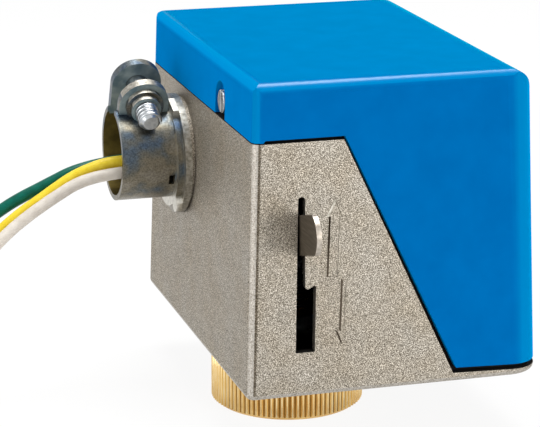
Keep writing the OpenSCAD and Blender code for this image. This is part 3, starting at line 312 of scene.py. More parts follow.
# %% Colour and texture of the cover
ripple = add(tree, "ShaderNodeTexNoise", {"Vector": place, "Scale": per_mm(6), "Detail": 2.0})
satin = add(tree, "ShaderNodeTexNoise", {"Vector": place, "Scale": per_mm(0.5), "Detail": 1.0})
colour = add(tree, "ShaderNodeValToRGB", {"Fac": ripple.outputs["Fac"]},
             [(0.3, "#005D9F"), (0.7, "#0062A5")])
# Rounded edges are painted a lighter blue: a painted highlight.
painted_edge_highlight = add(tree, "ShaderNodeMapRange", {"Value": largest.outputs[0], "From Min": FLAT, "From Max": 0.93})
mixed = add(tree, "ShaderNodeMix", {0: painted_edge_highlight.outputs[0], 6: colour.outputs[0], 7: linear("#0075B1")},
            data_type="RGBA")
tree.links.new(mixed.outputs[2], shader.inputs["Base Color"])
rough = add(tree, "ShaderNodeMapRange", {"Value": satin.outputs["Fac"], "To Min": 0.26, "To Max": 0.40})
tree.links.new(rough.outputs[0], shader.inputs["Roughness"])
bump = add(tree, "ShaderNodeBump",
           {"Height": satin.outputs["Fac"], "Strength": 0.12, "Distance": 0.05 * MM})
tree.links.new(bump.outputs[0], shader.inputs["Normal"])
print(blue.name, "has", len(tree.nodes), "nodes")

# %% [markdown]
# The union nut, the neck and the bushes are turned brass.
# Turning leaves fine rings round the axis, and handling leaves darker, redder patches.
# The rings are drawn 0.7 mm apart: a Wave texture repeats about three times in its size, here 2.2 mm.
# Between the ribs of the knurl the brass is painted darker: painted shade.

# %% Turned brass
brass, tree, shader, place = finish_tree("turned_brass", Metallic=1.0)
patch = add(tree, "ShaderNodeTexNoise", {"Vector": place, "Scale": per_mm(5), "Detail": 3.0})
colour = add(tree, "ShaderNodeValToRGB", {"Fac": patch.outputs["Fac"]},
             [(0.3, "#C4954C"), (0.55, "#D8B068"), (0.8, "#E4C27E")])
tree.links.new(colour.outputs[0], shader.inputs["Base Color"])
rings = add(tree, "ShaderNodeTexWave",
            {"Vector": place, "Scale": per_mm(2.2), "Distortion": 2.0, "Detail": 2.0},
            wave_type="BANDS", bands_direction="Z")
rough = add(tree, "ShaderNodeMapRange", {"Value": rings.outputs["Fac"], "To Min": 0.40, "To Max": 0.46})
tree.links.new(rough.outputs[0], shader.inputs["Roughness"])
print(brass.name)

# %% Painted shade between the ribs
rib_painted_shade = patchy_finish("tarnished_brass", "#6E4E20", "#86632E", 3, Metallic=1.0, Roughness=0.5)

# %% [markdown]
# The conduit connector is pressed and cast steel with a zinc plating.
# Its passivation shows thin-film colours: dark grey with blue and straw clouds, and olive inside.
# Towards the bottom the colours run lighter and browner: a painted reflection of the floor.
# Edges and lugs are bright: rubbed zinc with a painted highlight. The fine grain of the plating is drawn at
# 0.4 mm to show.

# %% Passivated zinc of the connector
FLOOR_LIGHT_TOP, FLOOR_LIGHT_FOOT = 58, 37
plated, tree, shader, place = finish_tree("passivated_zinc_plate", Metallic=1.0)
film = add(tree, "ShaderNodeTexNoise",
           {"Vector": place, "Scale": per_mm(6), "Detail": 2.0, "Roughness": 0.5})
parts = add(tree, "ShaderNodeSeparateXYZ", {"Vector": place})
# Lighter towards the bottom: painted reflection of the floor.
painted_floor_light = add(tree, "ShaderNodeMapRange", {
    "Value": parts.outputs["Z"], "From Min": FLOOR_LIGHT_TOP * MM, "From Max": FLOOR_LIGHT_FOOT * MM,
    "To Min": -0.1, "To Max": 0.14})
thick = add(tree, "ShaderNodeMath", {0: film.outputs["Fac"], 1: painted_floor_light.outputs[0]}, operation="ADD")
grain = add(tree, "ShaderNodeTexNoise", {"Vector": place, "Scale": per_mm(0.4), "Detail": 2.0})
tone = add(tree, "ShaderNodeValToRGB", {"Fac": thick.outputs[0]},
           [(0.28, "#4A5C74"), (0.40, "#626D76"), (0.50, "#75746C"), (0.60, "#857E6E"), (0.72, "#938D80")])
worn = add(tree, "ShaderNodeValToRGB", {"Fac": grain.outputs["Fac"]},
           [(0.32, "#C4C4C4"), (0.66, "#FFFFFF")])
mixed = add(tree, "ShaderNodeMix", {0: 1.0, 6: tone.outputs[0], 7: worn.outputs[0]},
            data_type="RGBA", blend_type="MULTIPLY")
tree.links.new(mixed.outputs[2], shader.inputs["Base Color"])
rough = add(tree, "ShaderNodeMapRange", {"Value": grain.outputs["Fac"], "To Min": 0.42, "To Max": 0.28})
tree.links.new(rough.outputs[0], shader.inputs["Roughness"])
bump = add(tree, "ShaderNodeBump",
           {"Height": grain.outputs["Fac"], "Strength": 0.15, "Distance": 0.06 * MM})
tree.links.new(bump.outputs[0], shader.inputs["Normal"])
print(plated.name)

# %% [markdown]
# Inside the strap the film is olive. On the ears, faces that look down to the front get a duller, lighter
# film:
# painted light.

# %% Film inside the strap, and painted light on its ears
olive = patchy_finish("olive_passivation", "#584B20", "#7A6930", 3, 0.15, Metallic=0.6, Roughness=0.45)
ear_painted_light = patchy_finish("dull_passivation", "#56696F", "#85918F", 3, 0.15, Metallic=0.2, Roughness=0.5)

# %% [markdown]
# The lever is nickel-plated spring steel, rolled and then blanked.
# Rolling leaves fine lines along the strip, so the noise is stretched along the lever.
# Its cut edge is brighter.

# %% Nickel-plated lever
nickel, tree, shader, place = finish_tree("rolled_nickel_plate", Metallic=1.0)
along = add(tree, "ShaderNodeMapping", {"Vector": place, "Scale": (1.0, 0.08, 1.0)})
lines = add(tree, "ShaderNodeTexNoise", {"Vector": along.outputs[0], "Scale": per_mm(0.4), "Detail": 2.0})
colour = add(tree, "ShaderNodeValToRGB", {"Fac": lines.outputs["Fac"]},
             [(0.3, "#5E554A"), (0.7, "#756C5F")])
tree.links.new(colour.outputs[0], shader.inputs["Base Color"])
rough = add(tree, "ShaderNodeMapRange", {"Value": lines.outputs["Fac"], "To Min": 0.42, "To Max": 0.30})
tree.links.new(rough.outputs[0], shader.inputs["Roughness"])
print(nickel.name)

# %% [markdown]
# Screws and small turned parts are bright zinc-plated steel.
# Shafts and plates inside are plain steel, with a duller and slightly darker skin.
# Rubbed edges with a painted highlight, other painted highlights and shade, and bare copper differ from
# these only in colour, gloss and grain, so one helper makes them all.

# %% Metal finishes
def metal_finish(name, dark, light, smooth, dull, size):
    """Bare or plated metal: a slow change of tone and of gloss, of this size in mm."""
    return patchy_finish(name, dark, light, size, detail=3.0, gloss=(smooth, dull), Metallic=1.0)


bright = metal_finish("bright_zinc_screws", "#9EA2A6", "#C6C9CB", 0.24, 0.36, 1.2)
steel = metal_finish("ground_steel", "#9A9A9C", "#BDBDBE", 0.22, 0.40, 2.0)
sheet = metal_finish("zinc_plated_sheet", "#A7ABB0", "#C9CCCE", 0.30, 0.48, 6.0)
spring_steel = metal_finish("oiled_spring_steel", "#55565A", "#77787C", 0.25, 0.40, 1.5)
ferrite = metal_finish("ferrite_magnet", "#3A3A3C", "#4A4A4C", 0.55, 0.70, 1.0)
rubbed_and_highlit = metal_finish("rubbed_zinc_edge", "#7E7A70", "#B8B4AA", 0.30, 0.44, 0.8)
lugs = metal_finish("rubbed_zinc_lugs", "#B0ACA1", "#DAD6CC", 0.30, 0.42, 0.8)
cast_painted_highlight = metal_finish("worn_casting_edge", "#847D73", "#D0CAC1", 0.40, 0.52, 0.28)
cut_edge = metal_finish("blanked_nickel_edge", "#A0968A", "#C8BFB3", 0.30, 0.42, 0.8)
shaded = metal_finish("unblasted_casting", "#544B40", "#665C50", 0.60, 0.70, 0.5)
rib_painted_highlight = metal_finish("rubbed_brass_ribs", "#F2D394", "#FDEABB", 0.34, 0.42, 2.0)

# %% [markdown]
# Nylon gears, the black terminal block and the insulation of the leads are plastics.
# They differ in colour, in gloss and in how much light goes into them, so one helper sets those apart.
# Leads also have faint marks along them from extrusion.

# %% Plastic finishes
def plastic_finish(name, dark, light, smooth, dull, size, glow=0.0):
    """Plastic with a slow change of tone and a slight change of gloss, of this size in mm."""
    return patchy_finish(name, dark, light, size, gloss=(smooth, dull), dent=0.05, IOR=1.52,
                         Specular_IOR_Level=0.15, Subsurface_Weight=glow, Subsurface_Scale=0.6 * MM)


nylon = plastic_finish("moulded_nylon", "#D9D4C2", "#E8E4D6", 0.35, 0.50, 2.0, 0.1)
black = plastic_finish("black_phenolic", "#191919", "#242425", 0.40, 0.55, 1.0)
pvc = {
    "green": plastic_finish("green_pvc_insulation", "#004E40", "#005C4D", 0.26, 0.36, 1.6),
    "yellow": plastic_finish("yellow_pvc_insulation", "#D8BC2C", "#E3CC44", 0.30, 0.42, 1.6),
    "white": plastic_finish("white_pvc_insulation", "#C3BBB0", "#CFC8BE", 0.30, 0.42, 1.6),
}

# %% [markdown]
# The motor's coil is enamelled copper wire, wound in layers on a bobbin round the motor axis.
# The turns lie side by side along X. They are drawn 0.8 mm apart, coarser than real wire, to show.
# The stripped ends of the leads are bare copper.

# %% Wound copper
copper, tree, shader, place = finish_tree(
    "enamelled_copper_winding", Metallic=1.0, Roughness=0.3, Coat_Weight=0.4)
turns = add(tree, "ShaderNodeTexWave", {"Vector": place, "Scale": per_mm(2.5), "Distortion": 0.4},
            wave_type="BANDS", bands_direction="X")
colour = add(tree, "ShaderNodeValToRGB", {"Fac": turns.outputs["Fac"]},
             [(0.2, "#7A3F20"), (0.8, "#C7794A")])
tree.links.new(colour.outputs[0], shader.inputs["Base Color"])
bump = add(tree, "ShaderNodeBump",
           {"Height": turns.outputs["Fac"], "Strength": 0.5, "Distance": 0.15 * MM})
tree.links.new(bump.outputs[0], shader.inputs["Normal"])
strand = metal_finish("bare_copper_strand", "#B8693C", "#D58B58", 0.22, 0.34, 0.6)
print(copper.name)

# %% [markdown]
# Each CAD node first gets one finish all over.
# The CAD tubes of the leads and of the spring get none, because other pieces stand for them further down.

# %% First finish of each node
def dress(material, *names):
    """Give nodes a finish."""
    for name in names:
        nodes[name].data.materials.clear()
        nodes[name].data.materials.append(material)
    print(material.name, "on", *names)


dress(cast, "base_casting")
dress(blue, "cover")
dress(brass, "union_nut", "neck_bush", "shaft_bushes", "cam_roller", "motor_pinion")
dress(plated, "connector_flange", "connector_strap", "connector_locknut")
dress(nickel, "drive_lever")
dress(bright, "cover_screw", "clamp_screw", "motor_screws", "plate_screws", "foot_screws")
dress(steel, "plunger", "lever_shaft", "roller_arm", "roller_pin", "idler_arbor", "motor_shaft",
      "plate_posts", "neck_lock_ring")
dress(sheet, "gear_plate", "motor_plate", "motor_can")
dress(spring_steel, "shaft_clips")
dress(ferrite, "motor_rotor")
dress(copper, "motor_coil")
dress(nylon, "idler_gear")
dress(black, "terminal_block")

# %% [markdown]
# Some nodes show a second finish on a part of their faces: painted shade in the gaps and a painted
# highlight on edges of the casting, a bright cut edge on the lever, painted shade between the nut's ribs,
# films, painted light on the ears and rubbed rims with a painted highlight on the connector.
# The faces could be picked by hand. Here each is chosen by the place of its centre, in mm,
# and by the way it looks, so that the choice follows the shape.

# %% Second finishes of the lever and the nut
def dress_where(material, name, chosen):
    """Give a second finish to the faces of a node for which chosen(centre in mm, normal) holds."""
    mesh = nodes[name].data
    mesh.materials.append(material)
    slot = len(mesh.materials) - 1
    count = 0
    for face in mesh.polygons:
        if chosen(face.center / MM, face.normal):
            face.material_index = slot
            count += 1
    print(name, "has", count, "faces in", material.name)
    return slot


# The roots of the nut's ribs lie between these radii
ROOT_LOW, ROOT_HIGH = 16.5, 17.72
dress_where(cut_edge, "drive_lever", lambda p, n: abs(n.x) < 0.5)
# The roots between the ribs get painted shade.
dress_where(rib_painted_shade, "union_nut", lambda p, n: (
    ROOT_LOW < math.hypot(p.x, p.y) < ROOT_HIGH and abs(n.z) < 0.5))

# %% Second finishes of the casting
# The right and the front wall at their foot, and the rounding between them. The right wall leans more.
RIGHT, FRONT = 46.5, -45.6
RIGHT_LEAN = 2.7 / 70
CORNER_R = 7.6
# Depth of the outer skin, beyond which shade is painted, height of the strip along the foot and top of the
# left corner, which get a painted highlight
SKIN = 0.6
FOOT_STRIP = 1.4
HIGHLIGHT_TOP = 63.2


def depth_in_casting(p):
    """Distance of a point from the nearest leaning wall, rounded right corner or the underside, in mm."""
    up = p.z - FOOT
    left = p.x - LEFT - LEAN * up
    right = RIGHT - RIGHT_LEAN * up - p.x
    ends = -FRONT - LEAN * up - abs(p.y)
    if right < CORNER_R and ends < CORNER_R:
        return min(CORNER_R - math.hypot(CORNER_R - right, CORNER_R - ends), up)
    return min(left, right, ends, up)


# Faces deeper than the skin get painted shade.
dress_where(painted_gap_shade, "base_casting", lambda p, n: depth_in_casting(p) > SKIN and n.x > -0.9)
# The foot strip and the left front corner are painted lighter: a painted highlight.
dress_where(cast_painted_highlight, "base_casting", lambda p, n: depth_in_casting(p) < SKIN and (
    (n.z < -0.2 and p.z < FOOT + FOOT_STRIP) or (n.x < -0.45 and n.y < -0.45 and p.z < HIGHLIGHT_TOP)))

# %% Second finishes of the connector
# Axes of the bore and of the strap, along X
PASSAGE = Vector((0, 16, 47.5))
STRAP = Vector((0, 16, 48.5))
# Radii of the strap's bore, of its outside and of the tops of its ears
STRAP_BORE = 10.2
STRAP_OUTSIDE = 12
EAR_TOPS = 14.5
# Lean of the clamp screw, and the gap between the ears: its place along that screw and its Y
CLAMP_SLOPE = math.radians(24)
EAR_GAP = 39
EAR_GAP_Y = 14
# Radii of the flange's rim and of its lugs, and the X of its outer face
FLANGE_RIM = 13.6
FLANGE_LUGS = 12.5
FLANGE_FACE_X = -24.1


def off_axis(p, axis):
    """Distance of a point from an axis along X, in mm."""
    return (Vector((0, p.y, p.z)) - axis).length


def along_clamp(p):
    """Place of a point along the clamp screw, in mm."""
    return p.y * math.cos(CLAMP_SLOPE) + p.z * math.sin(CLAMP_SLOPE)


# On the near ear, faces that look up are painted lighter: rubbed zinc with a painted highlight.
strap_edge = dress_where(rubbed_and_highlit, "connector_strap", lambda p, n: (
    off_axis(p, STRAP) > EAR_TOPS and p.y < EAR_GAP_Y and n.z > 0.35))
dress_where(olive, "connector_strap", lambda p, n: off_axis(p, STRAP) < STRAP_BORE and abs(n.x) < 0.5)
# Faces of the ears that look down to the front get painted light.
dress_where(ear_painted_light, "connector_strap", lambda p, n: n.y < -0.8 and off_axis(p, STRAP) > (
    STRAP_BORE if along_clamp(p) > EAR_GAP else STRAP_OUTSIDE))
# The flange's rim and lugs are rubbed zinc with a painted highlight.
flange_edge = dress_where(rubbed_and_highlit, "connector_flange", lambda p, n: (
    off_axis(p, PASSAGE) > FLANGE_RIM and p.x > FLANGE_FACE_X))
dress_where(lugs, "connector_flange", lambda p, n: (
    off_axis(p, PASSAGE) > FLANGE_LUGS and p.x < FLANGE_FACE_X))

# %% [markdown]
# Real edges are never perfectly sharp: a casting has small radii, a pressing has rolled edges.
# The edges could be modelled one by one. Instead a node gets a short stack of modifiers: weld the loose
# triangles, merge flat neighbours, bevel the edges that are left, and even out the normals.
# The CAD mesh itself stays as it is. A rounding can take another finish of its node, such as rubbed zinc
# with a painted highlight.

# %% Rounded edges
WELD_GAP = 0.002
FLAT_ANGLE = math.radians(0.4)
SHARP_ANGLE = math.radians(32)


def shade_smooth(piece):
    """Shade all faces of a piece as one curved surface."""
    for face in piece.data.polygons:
        face.use_smooth = True


def soften(node, width, segments=2, edge_slot=-1):
    """Round a node's edges by a width in mm. The rounding can take another of the node's finishes."""
    piece = nodes[node]
    shade_smooth(piece)
    weld = piece.modifiers.new("weld", "WELD")
    weld.merge_threshold = WELD_GAP * MM
    flat = piece.modifiers.new("flat", "DECIMATE")
    flat.decimate_type = "DISSOLVE"
    flat.angle_limit = FLAT_ANGLE
    bevel = piece.modifiers.new("bevel", "BEVEL")
    bevel.width = width * MM
    bevel.segments = segments
    bevel.limit_method = "ANGLE"
    bevel.angle_limit = SHARP_ANGLE
    bevel.material = edge_slot
    even = piece.modifiers.new("even", "WEIGHTED_NORMAL")
    even.weight = 80
    print(node, "has edges of", width, "mm")


soften("base_casting", 0.35, segments=3)
soften("cover", 0.35, segments=3)
soften("connector_flange", 0.3, edge_slot=flange_edge)
soften("connector_strap", 0.3, edge_slot=strap_edge)
soften("drive_lever", 0.15)
soften("clamp_screw", 0.2)
soften("cover_screw", 0.3)

# %% [markdown]
# The leads take their insulation, ride on the housing and stand for the CAD tubes.
# Each lead ends bare.

# %% Leads on the housing
for colour, lead in leads.items():
    lead.data.materials.append(pvc[colour])
    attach(lead, "housing")
    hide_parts("wire_" + colour)
    print(lead.name, "in", pvc[colour].name)

# %% [markdown]
# The stripped end of a lead is a twisted bundle of thin copper strands: one in the middle, six round it.
# Geometry nodes suit it: seven short lines stand on seven points, a twist turns them by height,
# and a tube follows each.
# The bundle is made upright at the origin and then moved to the lead's end in its mesh.

# %% Helpers to make a mesh from a geometry tree
def geometry_tree(name, sockets):
    """A new geometry tree with named inputs, given as name, kind and default value."""
    tree = bpy.data.node_groups.new(name, "GeometryNodeTree")
    tree.interface.new_socket("Geometry", in_out="OUTPUT", socket_type="NodeSocketGeometry")
    for label, kind, value in sockets:
        socket = tree.interface.new_socket(label, in_out="INPUT", socket_type="NodeSocket" + kind)
        if value is not None:
            socket.default_value = value
    return tree, add(tree, "NodeGroupInput").outputs


def end_tree(tree, geometry, material):
    """End a geometry tree: make its instances real, give them the material and hand them out."""
    whole = add(tree, "GeometryNodeRealizeInstances", {"Geometry": geometry})
    painted = add(tree, "GeometryNodeSetMaterial", {"Geometry": whole.outputs[0], "Material": material})
    add(tree, "NodeGroupOutput", {0: painted.outputs[0]})
    print(tree.name, len(tree.nodes), "nodes")


def grow(name, tree, material, place, **values):
    """Run a geometry tree with these values and keep the result as a plain mesh, moved into place."""
    scratch = bpy.data.objects.new(name, bpy.data.meshes.new(name))
    bpy.context.scene.collection.objects.link(scratch)
    modifier = scratch.modifiers.new("grow", "NODES")
    modifier.node_group = tree
    for item in tree.interface.items_tree:
        if item.item_type == "SOCKET" and item.in_out == "INPUT":
            key = item.name.lower().replace(" ", "_")
            if item.socket_type == "NodeSocketMaterial":
                modifier[item.identifier] = material
            elif key in values:
                modifier[item.identifier] = values[key]
    mesh = bpy.data.meshes.new_from_object(scratch.evaluated_get(bpy.context.evaluated_depsgraph_get()))
    mesh.name = name
    scratch.modifiers.remove(modifier)
    scratch.data = mesh
    mesh.transform(place)
    print(name, len(mesh.vertices), "points,", len(mesh.polygons), "faces")
    return scratch


# %% Tree for a bundle of strands
# The six outer strands stand this many strand radii from the middle
APART = 2.05
strands_tree, given = geometry_tree("copper_strands", [
    ("Length", "Float", 7 * MM), ("Strand Radius", "Float", 0.3 * MM), ("Twist", "Float", 2.4),
    ("Material", "Material", None),
])
tree = strands_tree
ring = add(tree, "GeometryNodeMeshCircle", {"Vertices": 6, "Radius": given["Strand Radius"]})
wider = add(tree, "GeometryNodeTransform", {"Geometry": ring.outputs[0], "Scale": (APART, APART, APART)})
middle = add(tree, "GeometryNodeMeshLine", {"Count": 1})
spots = add(tree, "GeometryNodeJoinGeometry", {"Geometry": wider.outputs[0]})
tree.links.new(middle.outputs[0], spots.inputs[0])
top = add(tree, "ShaderNodeCombineXYZ", {"Z": given["Length"]})
line = add(tree, "GeometryNodeCurvePrimitiveLine", {"End": top.outputs[0]})
fine = add(tree, "GeometryNodeResampleCurve", {"Curve": line.outputs[0], "Count": 14})
stood = add(tree, "GeometryNodeInstanceOnPoints", {"Points": spots.outputs[0], "Instance": fine.outputs[0]})
real = add(tree, "GeometryNodeRealizeInstances", {"Geometry": stood.outputs[0]})
where = add(tree, "GeometryNodeInputPosition")
parts = add(tree, "ShaderNodeSeparateXYZ", {"Vector": where.outputs[0]})
share = add(tree, "ShaderNodeMath", {0: parts.outputs["Z"], 1: given["Length"]}, operation="DIVIDE")
angle = add(tree, "ShaderNodeMath", {0: share.outputs[0], 1: given["Twist"]}, operation="MULTIPLY")
turned = add(tree, "ShaderNodeVectorRotate", {"Vector": where.outputs[0], "Angle": angle.outputs[0]},
             rotation_type="Z_AXIS")
moved = add(tree, "GeometryNodeSetPosition", {"Geometry": real.outputs[0], "Position": turned.outputs[0]})
section = add(tree, "GeometryNodeCurvePrimitiveCircle", {"Resolution": 8, "Radius": given["Strand Radius"]})
tube = add(tree, "GeometryNodeCurveToMesh",
           {"Curve": moved.outputs[0], "Profile Curve": section.outputs[0], "Fill Caps": True})
end_tree(tree, tube.outputs[0], given["Material"])

# %% Stripped ends
# In mm: how far the strands reach into the insulation, how far they stay short of the CAD tube's end,
# and how near to the connector's mouth a point of a lead counts as outside
INSIDE = 1.5
SHORT = 0.5
for colour, lead in leads.items():
    knots = lead.data.splines[0].bezier_points
    start = knots[-1].co.copy()
    along = (tips[colour] - start).normalized()
    turn = along.to_track_quat("Z", "Y").to_matrix().to_4x4()
    place = Matrix.Translation(start - along * INSIDE * MM) @ turn
    end = grow("strands_" + colour, strands_tree, strand, place, length=(STRIPPED + INSIDE - SHORT) * MM)
    shade_smooth(end)
    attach(end, "housing")

# %% [markdown]
# Threads are helices: a small wedge follows a spiral. One tree makes the thread of the clamp screw
# and the thread inside the union nut, with other sizes.
# Each is laid half into the plain cylinder of its CAD node.

# %% Tree for a screw thread
thread_tree, given = geometry_tree("screw_thread", [
    ("Radius", "Float", 2.7 * MM), ("Pitch", "Float", 1.1 * MM), ("Turns", "Float", 6.0),
    ("Ridge", "Float", 0.45 * MM), ("Material", "Material", None),
])
tree = thread_tree
height = add(tree, "ShaderNodeMath", {0: given["Pitch"], 1: given["Turns"]}, operation="MULTIPLY")
spiral = add(tree, "GeometryNodeCurveSpiral", {
    "Resolution": 40, "Rotations": given["Turns"], "Start Radius": given["Radius"],
    "End Radius": given["Radius"], "Height": height.outputs[0],
})
wedge = add(tree, "GeometryNodeCurvePrimitiveCircle", {"Resolution": 4, "Radius": given["Ridge"]})
swept = add(tree, "GeometryNodeCurveToMesh",
            {"Curve": spiral.outputs[0], "Profile Curve": wedge.outputs[0], "Fill Caps": True})
end_tree(tree, swept.outputs[0], given["Material"])

# %% Threads of the clamp screw and of the nut
# The middle of the hole in the near ear, and how far each thread starts before its origin, in mm
CLAMP_NEAR = Vector((-31.83, 11.2, 61.4)) * MM
CLAMP_THREAD_FOOT = 7.8
NUT_THREAD_FOOT = 9.6
clamp_axis = Matrix.Translation(CLAMP_NEAR) @ Matrix.Rotation(CLAMP_SLOPE - math.pi / 2, 4, "X")
clamp_place = clamp_axis @ Matrix.Translation((0, 0, -CLAMP_THREAD_FOOT * MM))
clamp_thread = grow("clamp_thread", thread_tree, bright, clamp_place,
                    radius=2.35 * MM, pitch=1.15 * MM, turns=5.0, ridge=0.42 * MM)
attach(clamp_thread, "housing")
nut_place = Matrix.Translation((0, 0, -NUT_THREAD_FOOT * MM))
nut_thread = grow("nut_thread", thread_tree, brass, nut_place,
                  radius=14.2 * MM, pitch=1.5 * MM, turns=6.0, ridge=0.6 * MM)
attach(nut_thread, "nut")

# %% [markdown]
# The nut is knurled with straight ribs for a good grip.
# The CAD nut has them as plain ridges with flat flanks, and the first ridge starts at the X axis.
# Rolled knurling is rounder, so a slim rod lies on each ridge: points on a circle, one rod on each point.
# The ribs are painted brighter than the rest of the nut: a painted highlight.

# %% Tree for knurl ribs
RIBS = 90
knurl_tree, given = geometry_tree("knurl_ribs", [
    ("Ribs", "Int", RIBS), ("Radius", "Float", 17.7 * MM), ("Rib Radius", "Float", 0.34 * MM),
    ("Height", "Float", 15 * MM), ("Material", "Material", None),
])
tree = knurl_tree
ring = add(tree, "GeometryNodeMeshCircle", {"Vertices": given["Ribs"], "Radius": given["Radius"]})
rod = add(tree, "GeometryNodeMeshCylinder",
          {"Vertices": 8, "Radius": given["Rib Radius"], "Depth": given["Height"]},
          fill_type="TRIANGLE_FAN")
placed = add(tree, "GeometryNodeInstanceOnPoints",
             {"Points": ring.outputs[0], "Instance": rod.outputs["Mesh"]})
end_tree(tree, placed.outputs[0], given["Material"])

# %% Ribs on the union nut
# A ridge has its middle at this share of a step. The rods stop short of the nut's ends, by so many mm.
RIDGE_MIDDLE = 0.375
RIB_END = 0.8
nut_low, nut_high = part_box("union_nut")
rib_turn = Matrix.Rotation(math.radians(360 / RIBS * RIDGE_MIDDLE), 4, "Z")
rib_place = Matrix.Translation((0, 0, (nut_low.z + nut_high.z) / 2)) @ rib_turn
# The rods carry a painted highlight.
ribs = grow("knurl", knurl_tree, rib_painted_highlight, rib_place,
            height=nut_high.z - nut_low.z - 2 * RIB_END * MM)
# The sides of a rod are quads. Its ends are triangles and stay flat.
for face in ribs.data.polygons:
    face.use_smooth = len(face.vertices) == 4
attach(ribs, "nut")

# %% [markdown]
# The return spring stands round the neck, under the plunger's head.
# Its end turns are closed, as on a real compression spring.
# A line is bent into a helix by moving its points: the angle grows evenly, the height in three stretches.

# %% Tree for a compression spring
spring_tree, given = geometry_tree("compression_spring", [
    ("Radius", "Float", 5.6 * MM), ("Wire Radius", "Float", 0.4 * MM), ("Length", "Float", 10 * MM),
    ("Turns", "Float", 6.5), ("Closed", "Float", 0.14), ("Closed Height", "Float", 0.9 * MM),
    ("Material", "Material", None),
])
tree = spring_tree
line = add(tree, "GeometryNodeCurvePrimitiveLine", {"End": (0, 0, 1)})
fine = add(tree, "GeometryNodeResampleCurve", {"Curve": line.outputs[0], "Count": 260})
share = add(tree, "GeometryNodeSplineParameter").outputs["Factor"]
angle = add(tree, "ShaderNodeMath", {0: share, 1: given["Turns"]}, operation="MULTIPLY")
angle = add(tree, "ShaderNodeMath", {0: angle.outputs[0], 1: 2 * math.pi}, operation="MULTIPLY")
across = add(tree, "ShaderNodeMath", {0: angle.outputs[0]}, operation="COSINE")
deep = add(tree, "ShaderNodeMath", {0: angle.outputs[0]}, operation="SINE")
x = add(tree, "ShaderNodeMath", {0: across.outputs[0], 1: given["Radius"]}, operation="MULTIPLY")
y = add(tree, "ShaderNodeMath", {0: deep.outputs[0], 1: given["Radius"]}, operation="MULTIPLY")
print(tree.name, "has", len(tree.nodes), "nodes for its turns")

# %% Height and wire of the spring
last = add(tree, "ShaderNodeMath", {0: 1.0, 1: given["Closed"]}, operation="SUBTRACT")
twice = add(tree, "ShaderNodeMath", {0: given["Closed Height"], 1: 2.0}, operation="MULTIPLY")
free = add(tree, "ShaderNodeMath", {0: given["Length"], 1: twice.outputs[0]}, operation="SUBTRACT")
foot = add(tree, "ShaderNodeMapRange", {
    "Value": share, "From Max": given["Closed"], "To Max": given["Closed Height"]})
body = add(tree, "ShaderNodeMapRange", {
    "Value": share, "From Min": given["Closed"], "From Max": last.outputs[0], "To Max": free.outputs[0]})
head = add(tree, "ShaderNodeMapRange", {
    "Value": share, "From Min": last.outputs[0], "To Max": given["Closed Height"]})
lower = add(tree, "ShaderNodeMath", {0: foot.outputs[0], 1: body.outputs[0]}, operation="ADD")
z = add(tree, "ShaderNodeMath", {0: lower.outputs[0], 1: head.outputs[0]}, operation="ADD")
point = add(tree, "ShaderNodeCombineXYZ", {"X": x.outputs[0], "Y": y.outputs[0], "Z": z.outputs[0]})
helix = add(tree, "GeometryNodeSetPosition", {"Geometry": fine.outputs[0], "Position": point.outputs[0]})
section = add(tree, "GeometryNodeCurvePrimitiveCircle", {"Resolution": 10, "Radius": given["Wire Radius"]})
wire = add(tree, "GeometryNodeCurveToMesh",
           {"Curve": helix.outputs[0], "Profile Curve": section.outputs[0], "Fill Caps": True})
end_tree(tree, wire.outputs[0], given["Material"])

# %% Return spring
spring_low, spring_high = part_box("plunger_spring")
SPRING_WIRE_R = 0.4 * MM
spring_place = Matrix.Translation((0, 0, spring_low.z + SPRING_WIRE_R))
spring = grow("return_spring", spring_tree, spring_steel, spring_place, wire_radius=SPRING_WIRE_R,
              length=spring_high.z - spring_low.z - 2 * SPRING_WIRE_R, radius=spring_high.x - SPRING_WIRE_R)
shade_smooth(spring)
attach(spring, "housing")
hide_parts("plunger_spring")
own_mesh(spring)

# %% [markdown]
# Two arrows are cast into the front wall beside the slot: up for automatic, down for manual.
# They are raised by half a millimetre with sloping sides, so they show by light and shade, and by paint on
# their sides.
# An arrow is a polygon, drawn in a little as it rises, and closed by one flat face.
# Its left side gets painted shade. Sides that face right or up get a painted highlight.

# %% Outline of an arrow
SLOPE = 0.3
MITER_LEAST = 0.35


def front_y(z):
    """Y of the leaning front wall at a height in mm, in metres."""
    return (FRONT + LEAN * (z - FOOT)) * MM


def arrow_points(tip, neck, foot, half_head, half_shaft):
    """Outline of an arrow from tip to foot, as points in X and Z in mm. The head takes the share neck."""
    tip, foot = Vector(tip), Vector(foot)
    along = foot - tip
    side = Vector((-along.y, along.x)).normalized()
    shoulder = tip + along * neck
    return [
        tip, shoulder + side * half_head, shoulder + side * half_shaft, foot + side * half_shaft,
        foot - side * half_shaft, shoulder - side * half_shaft, shoulder - side * half_head,
    ]


def drawn_in(outline):
    """The same outline, drawn in by SLOPE all round, and at a sharp tip by at most SLOPE / MITER_LEAST."""
    count = len(outline)
    turn = sum(outline[i].cross(outline[(i + 1) % count]) for i in range(count))
    inner = []
    for i in range(count):
        back = (outline[i] - outline[i - 1]).normalized()
        ahead = (outline[(i + 1) % count] - outline[i]).normalized()
        normals = [Vector((-d.y, d.x)) * math.copysign(1, turn) for d in (back, ahead)]
        miter = (normals[0] + normals[1]).normalized()
        inner.append(outline[i] + miter * SLOPE / max(miter.dot(normals[0]), MITER_LEAST))
    return inner


print("front wall at the foot: y =", round(front_y(FOOT) / MM, 1), "mm")

# %% Arrows on the front wall
# In mm: height of an arrow, how deep it is set in the wall, and how far out its slope starts
RISE = 0.45
BURIED = 0.1
PROUD = 0.02


